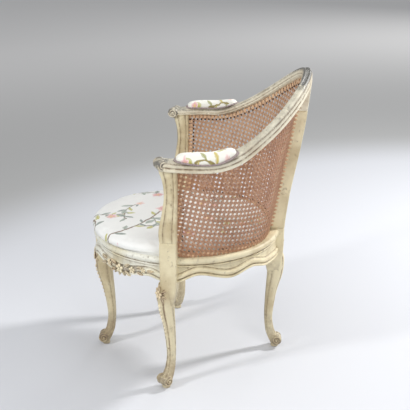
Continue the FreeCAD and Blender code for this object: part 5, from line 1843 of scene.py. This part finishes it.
@dataclass
class DropInSeat:
    """The loose upholstered seat: its crowned cover, its wrapped edge, its webbing and its base cloth."""

    side: float = 0.2572
    tuck: float = 0.406
    low: float = 0.392
    wrap: float = 0.207
    bulge: float = 0.26
    bulge_height: float = 0.42
    shoulder: float = 0.246
    shoulder_height: float = 0.434
    crown: float = 0.443
    lip: float = 0.0135
    steps: int = 96
    web_width: float = 0.05
    web_thick: float = 0.0013
    web_pitch: float = 0.086
    web_circle: float = 0.248
    web_height: float = 0.41
    base_radius: float = 0.252
    base_height: float = 0.4118
    base_thick: float = 0.0009
    base_eye: float = 0.012
    under: float = 0.4132
    seam: float = 0.4108
    held_below: float = 0.4125
    edge_top: float = 0.4148
    edge_thick: float = 0.0012

    def __post_init__(self) -> None:
        """Finds the middle of the seat."""
        self.middle_y = CHAIR.axis_y + CHAIR.well_shift

    def turned(self, profile: Sequence[tuple[float, float]]) -> list[Ring]:
        """Returns rings of a shape turned about the seat's middle, one for each point of its profile."""
        return [[Vector((radius * cos(turn), self.middle_y + radius * sin(turn), height))
                 for turn in circle(self.steps)]
                for radius, height in profile]

    def cover(self, palette: Palette) -> None:
        """Makes the cover over the stuffing, swelled by simulation."""
        profile = [(0.05, self.under, 0.0), (0.245, self.under, 0.0), (self.side - 0.001, 0.4105, 0.0),
                   (self.side + 0.0015, self.seam, 0.7)]
        for turn in (0, 25, 50, 72):
            angle = radians(turn)
            profile.append((between(self.shoulder, self.bulge, cos(angle)),
                            between(self.bulge_height, self.shoulder_height, sin(angle)), 1.0))
        for share in (1.0, 0.85, 0.7, 0.55, 0.4, 0.25, 0.1):
            height = between(self.shoulder_height, self.crown, 1.0 - share ** 2)
            profile.append((self.shoulder * share, height, share))
        rings = self.turned([(radius, height) for radius, height, _ in profile])
        middle = Vector((0.0, self.middle_y, 0.0))
        for ring, (_, _, lip) in zip(rings, profile):
            for point in ring:
                away = (point - middle).to_2d().normalized()
                front = smooth((-away.y - 0.1) / 0.6)
                point += Vector((away.x, away.y, 0.0)) * (self.lip * lip * front)
        work = Sculptor("seat_cover_stuffed")
        work.skin(rings)
        cover = work.finish(palette.seat_chintz, Body.SEAT, ["seat_cover", "seat_stuffing"])
        simulated(cover, voxel=0.005, pressure=3.0, cap=0.004,
                  held=lambda point: 1.0 if point.z < self.held_below else 0.0)
        dress(cover, palette.seat_chintz, Body.SEAT)
        edge = Sculptor("seat_cover_wrapped_edge")
        inner, upper = self.side - self.edge_thick, self.low + self.edge_thick
        edge.skin(self.turned((
            (self.wrap, self.low), (self.side - 0.002, self.low), (self.side, self.low + 0.002),
            (self.side, self.tuck), (self.side + 0.0006, self.edge_top), (inner, self.edge_top),
            (inner, self.low + 0.002), (self.side - 0.003, upper), (self.wrap, upper))), capped=False)
        bmesh.ops.bridge_loops(edge.mesh, edges=[e for e in edge.mesh.edges if e.is_boundary])
        edge.finish(palette.seat_chintz, Body.SEAT, sharp=50.0)

    def underside(self, palette: Palette) -> None:
        """Makes the interlaced webbing and the base cloth."""
        for name, lengthways, ends in (("webbing_lengthways", True, ("front", "back")),
                                       ("webbing_crossways", False, ("left", "right"))):
            work = Sculptor(f"{name}_woven")
            for index in range(-2, 3):
                offset = index * self.web_pitch
                half = self.strap_half(index)
                rings = []
                for along in spaced(-half, half, 61):
                    sign = (1.0 if index % 2 else -1.0) * (1.0 if lengthways else -1.0)
                    wave = 0.0009 * sign * cos(pi * along / self.web_pitch)
                    ring = []
                    for across, rise in ((-0.5, -0.5), (0.5, -0.5), (0.5, 0.5), (-0.5, 0.5)):
                        a, b = along, offset + across * self.web_width
                        x, y = (b, a) if lengthways else (a, b)
                        height = self.web_height + wave + rise * self.web_thick
                        ring.append(Vector((x, self.middle_y + y, height)))
                    rings.append(ring)
                work.skin(rings)
            strap = work.finish(palette.webbing, Body.SEAT, [name], sharp=40.0)
        cloth = Sculptor("seat_base_cloth_stretched")
        radii = (self.base_eye, self.base_radius * 0.5, self.base_radius)
        below = [(radius, self.base_height) for radius in radii]
        above = [(radius, self.base_height + self.base_thick) for radius in reversed(radii)]
        cloth.skin(self.turned(below + above))
        sheet = cloth.finish(palette.base_cloth, Body.SEAT, ["seat_base_cloth"], sharp=40.0)

    def strap_half(self, index: int) -> float:
        """Returns half the length of a strap, counted from the middle one."""
        return sqrt(self.web_circle ** 2 - (abs(index) * self.web_pitch + self.web_width / 2) ** 2)

    def build(self, palette: Palette) -> None:
        """Makes the soft pieces of the seat."""
        self.cover(palette)
        self.underside(palette)


def dress_kept_nodes(palette: Palette) -> None:
    """Gives the pieces that keep their own shape a finish."""
    finishes = {f"{joint}_pegs": palette.paint for joint in ("rail", "stump", "upright")}
    finishes.update({"crest_dowels": palette.beech, "seat_tacks": palette.steel})
    finishes.update({f"seat_frame_{part}": palette.beech
                     for part in ("left", "back", "right", "front", "tongues")})
    for node, material in finishes.items():
        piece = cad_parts[node]
        piece.data.materials.clear()
        piece.data.materials.append(material)
        LOG.info("%s: kept", node)


class Lamp(NamedTuple):
    """A soft square light: its name, its place, its power in watts and its width in metres."""

    name: str
    spot: Triple
    power: float
    width: float


@dataclass
class Studio:
    """The pale floor with painted shade and light far from the chair, the soft lights and the camera."""

    azimuth: float = 92.0
    elevation: float = 19.53
    distance: float = 2.822
    lens: float = 82.2
    target: Triple = (0.0, 0.0151, 0.4689)
    floor_half: float = 14.0
    # The floor's colours: pale near the chair, painted shade in a band beyond, painted light far away.
    near: Colour = (0.64, 0.65, 0.68)
    painted_shade: Colour = (0.44, 0.44, 0.435)
    far: Colour = (0.85, 0.84, 0.83)
    pale_middle: Triple = (0.1, 1.2, 0.0)
    pale_reach: float = 2.1
    shade_reach: float = 2.7
    far_reach: float = 6.2
    sky: Colour = (0.95, 0.97, 1.0)
    sky_strength: float = 0.4
    aim: Triple = (0.0, 0.0, 0.4)
    lamps: tuple[Lamp, ...] = (
        Lamp("right_softbox", (-1.1, 2.4, 2.1), 80.0, 0.32),
        Lamp("left_softbox", (1.6, -2.2, 1.9), 38.0, 0.32),
        Lamp("top_softbox", (0.8, 0.2, 3.2), 24.0, 2.2),
        Lamp("backdrop_softbox", (-6.5, 2.6, 3.0), 62.0, 2.0),
        Lamp("side_fill", (2.9, 1.7, 1.4), 34.0, 1.6))

    def floor(self) -> None:
        """Makes the floor: pale by the chair, a band of painted shade beyond, and painted light far off."""
        mesh = bmesh.new()
        bmesh.ops.create_grid(mesh, x_segments=4, y_segments=4, size=self.floor_half)
        data = bpy.data.meshes.new("studio_floor")
        mesh.to_mesh(data)
        mesh.free()
        floor = bpy.data.objects.new("studio_floor", data)
        bpy.context.scene.collection.objects.link(floor)
        material, desk, shader = new_material("studio_floor")
        where = desk.where()
        away = desk.vector("DISTANCE", {0: where, 1: self.pale_middle}, "Value")
        # Painted shade from the pale reach to the shade reach, then painted light towards the far reach.
        colour = desk.mix(desk.step(away, self.pale_reach, self.shade_reach), self.near, self.painted_shade)
        colour = desk.mix(desk.step(away, self.shade_reach, self.far_reach), colour, self.far)
        desk.feed(shader, {"Base Color": colour, "Roughness": 0.9})
        data.materials.append(material)

    def light(self, lamp: Lamp) -> None:
        """Hangs one soft square light that looks at the chair."""
        glow = bpy.data.lights.new(lamp.name, "AREA")
        glow.energy = lamp.power
        glow.size = lamp.width
        holder = bpy.data.objects.new(lamp.name, glow)
        holder.location = lamp.spot
        way = Vector(self.aim) - Vector(lamp.spot)
        holder.rotation_euler = way.to_track_quat("-Z", "Y").to_euler()
        bpy.context.scene.collection.objects.link(holder)

    def camera(self) -> None:
        """Sets the camera at the photograph's angle."""
        lens = bpy.data.cameras.new("photo_camera")
        lens.lens = self.lens
        lens.sensor_width = 36.0
        holder = bpy.data.objects.new("photo_camera", lens)
        a, e = radians(self.azimuth), radians(self.elevation)
        back = Vector((sin(a) * cos(e), -cos(a) * cos(e), sin(e)))
        holder.location = Vector(self.target) + back * self.distance
        holder.rotation_euler = (-back).to_track_quat("-Z", "Y").to_euler()
        bpy.context.scene.collection.objects.link(holder)
        bpy.context.scene.camera = holder

    def build(self) -> None:
        """Makes the whole studio."""
        scene = bpy.context.scene
        scene.view_settings.view_transform = "Standard"
        world = bpy.data.worlds.new("studio_world")
        world.use_nodes = True
        background = next(node for node in world.node_tree.nodes if node.type == "BACKGROUND")
        background.inputs["Color"].default_value = (*self.sky, 1.0)
        background.inputs["Strength"].default_value = self.sky_strength
        scene.world = world
        self.floor()
        for lamp in self.lamps:
            self.light(lamp)
        self.camera()


def main() -> None:
    """Builds the studio and every sub-assembly."""
    logging.basicConfig(level=logging.INFO, format="%(name)s %(message)s")
    Studio().build()
    palette = Palette()
    assemblies = (SeatRails, CabrioleLegs, ArmStumps, TopRail, BackUpright, CanePanels, ArmPads, DropInSeat)
    for assembly in assemblies:
        assembly().build(palette)
    dress_kept_nodes(palette)


if __name__ == "__main__":
    main()
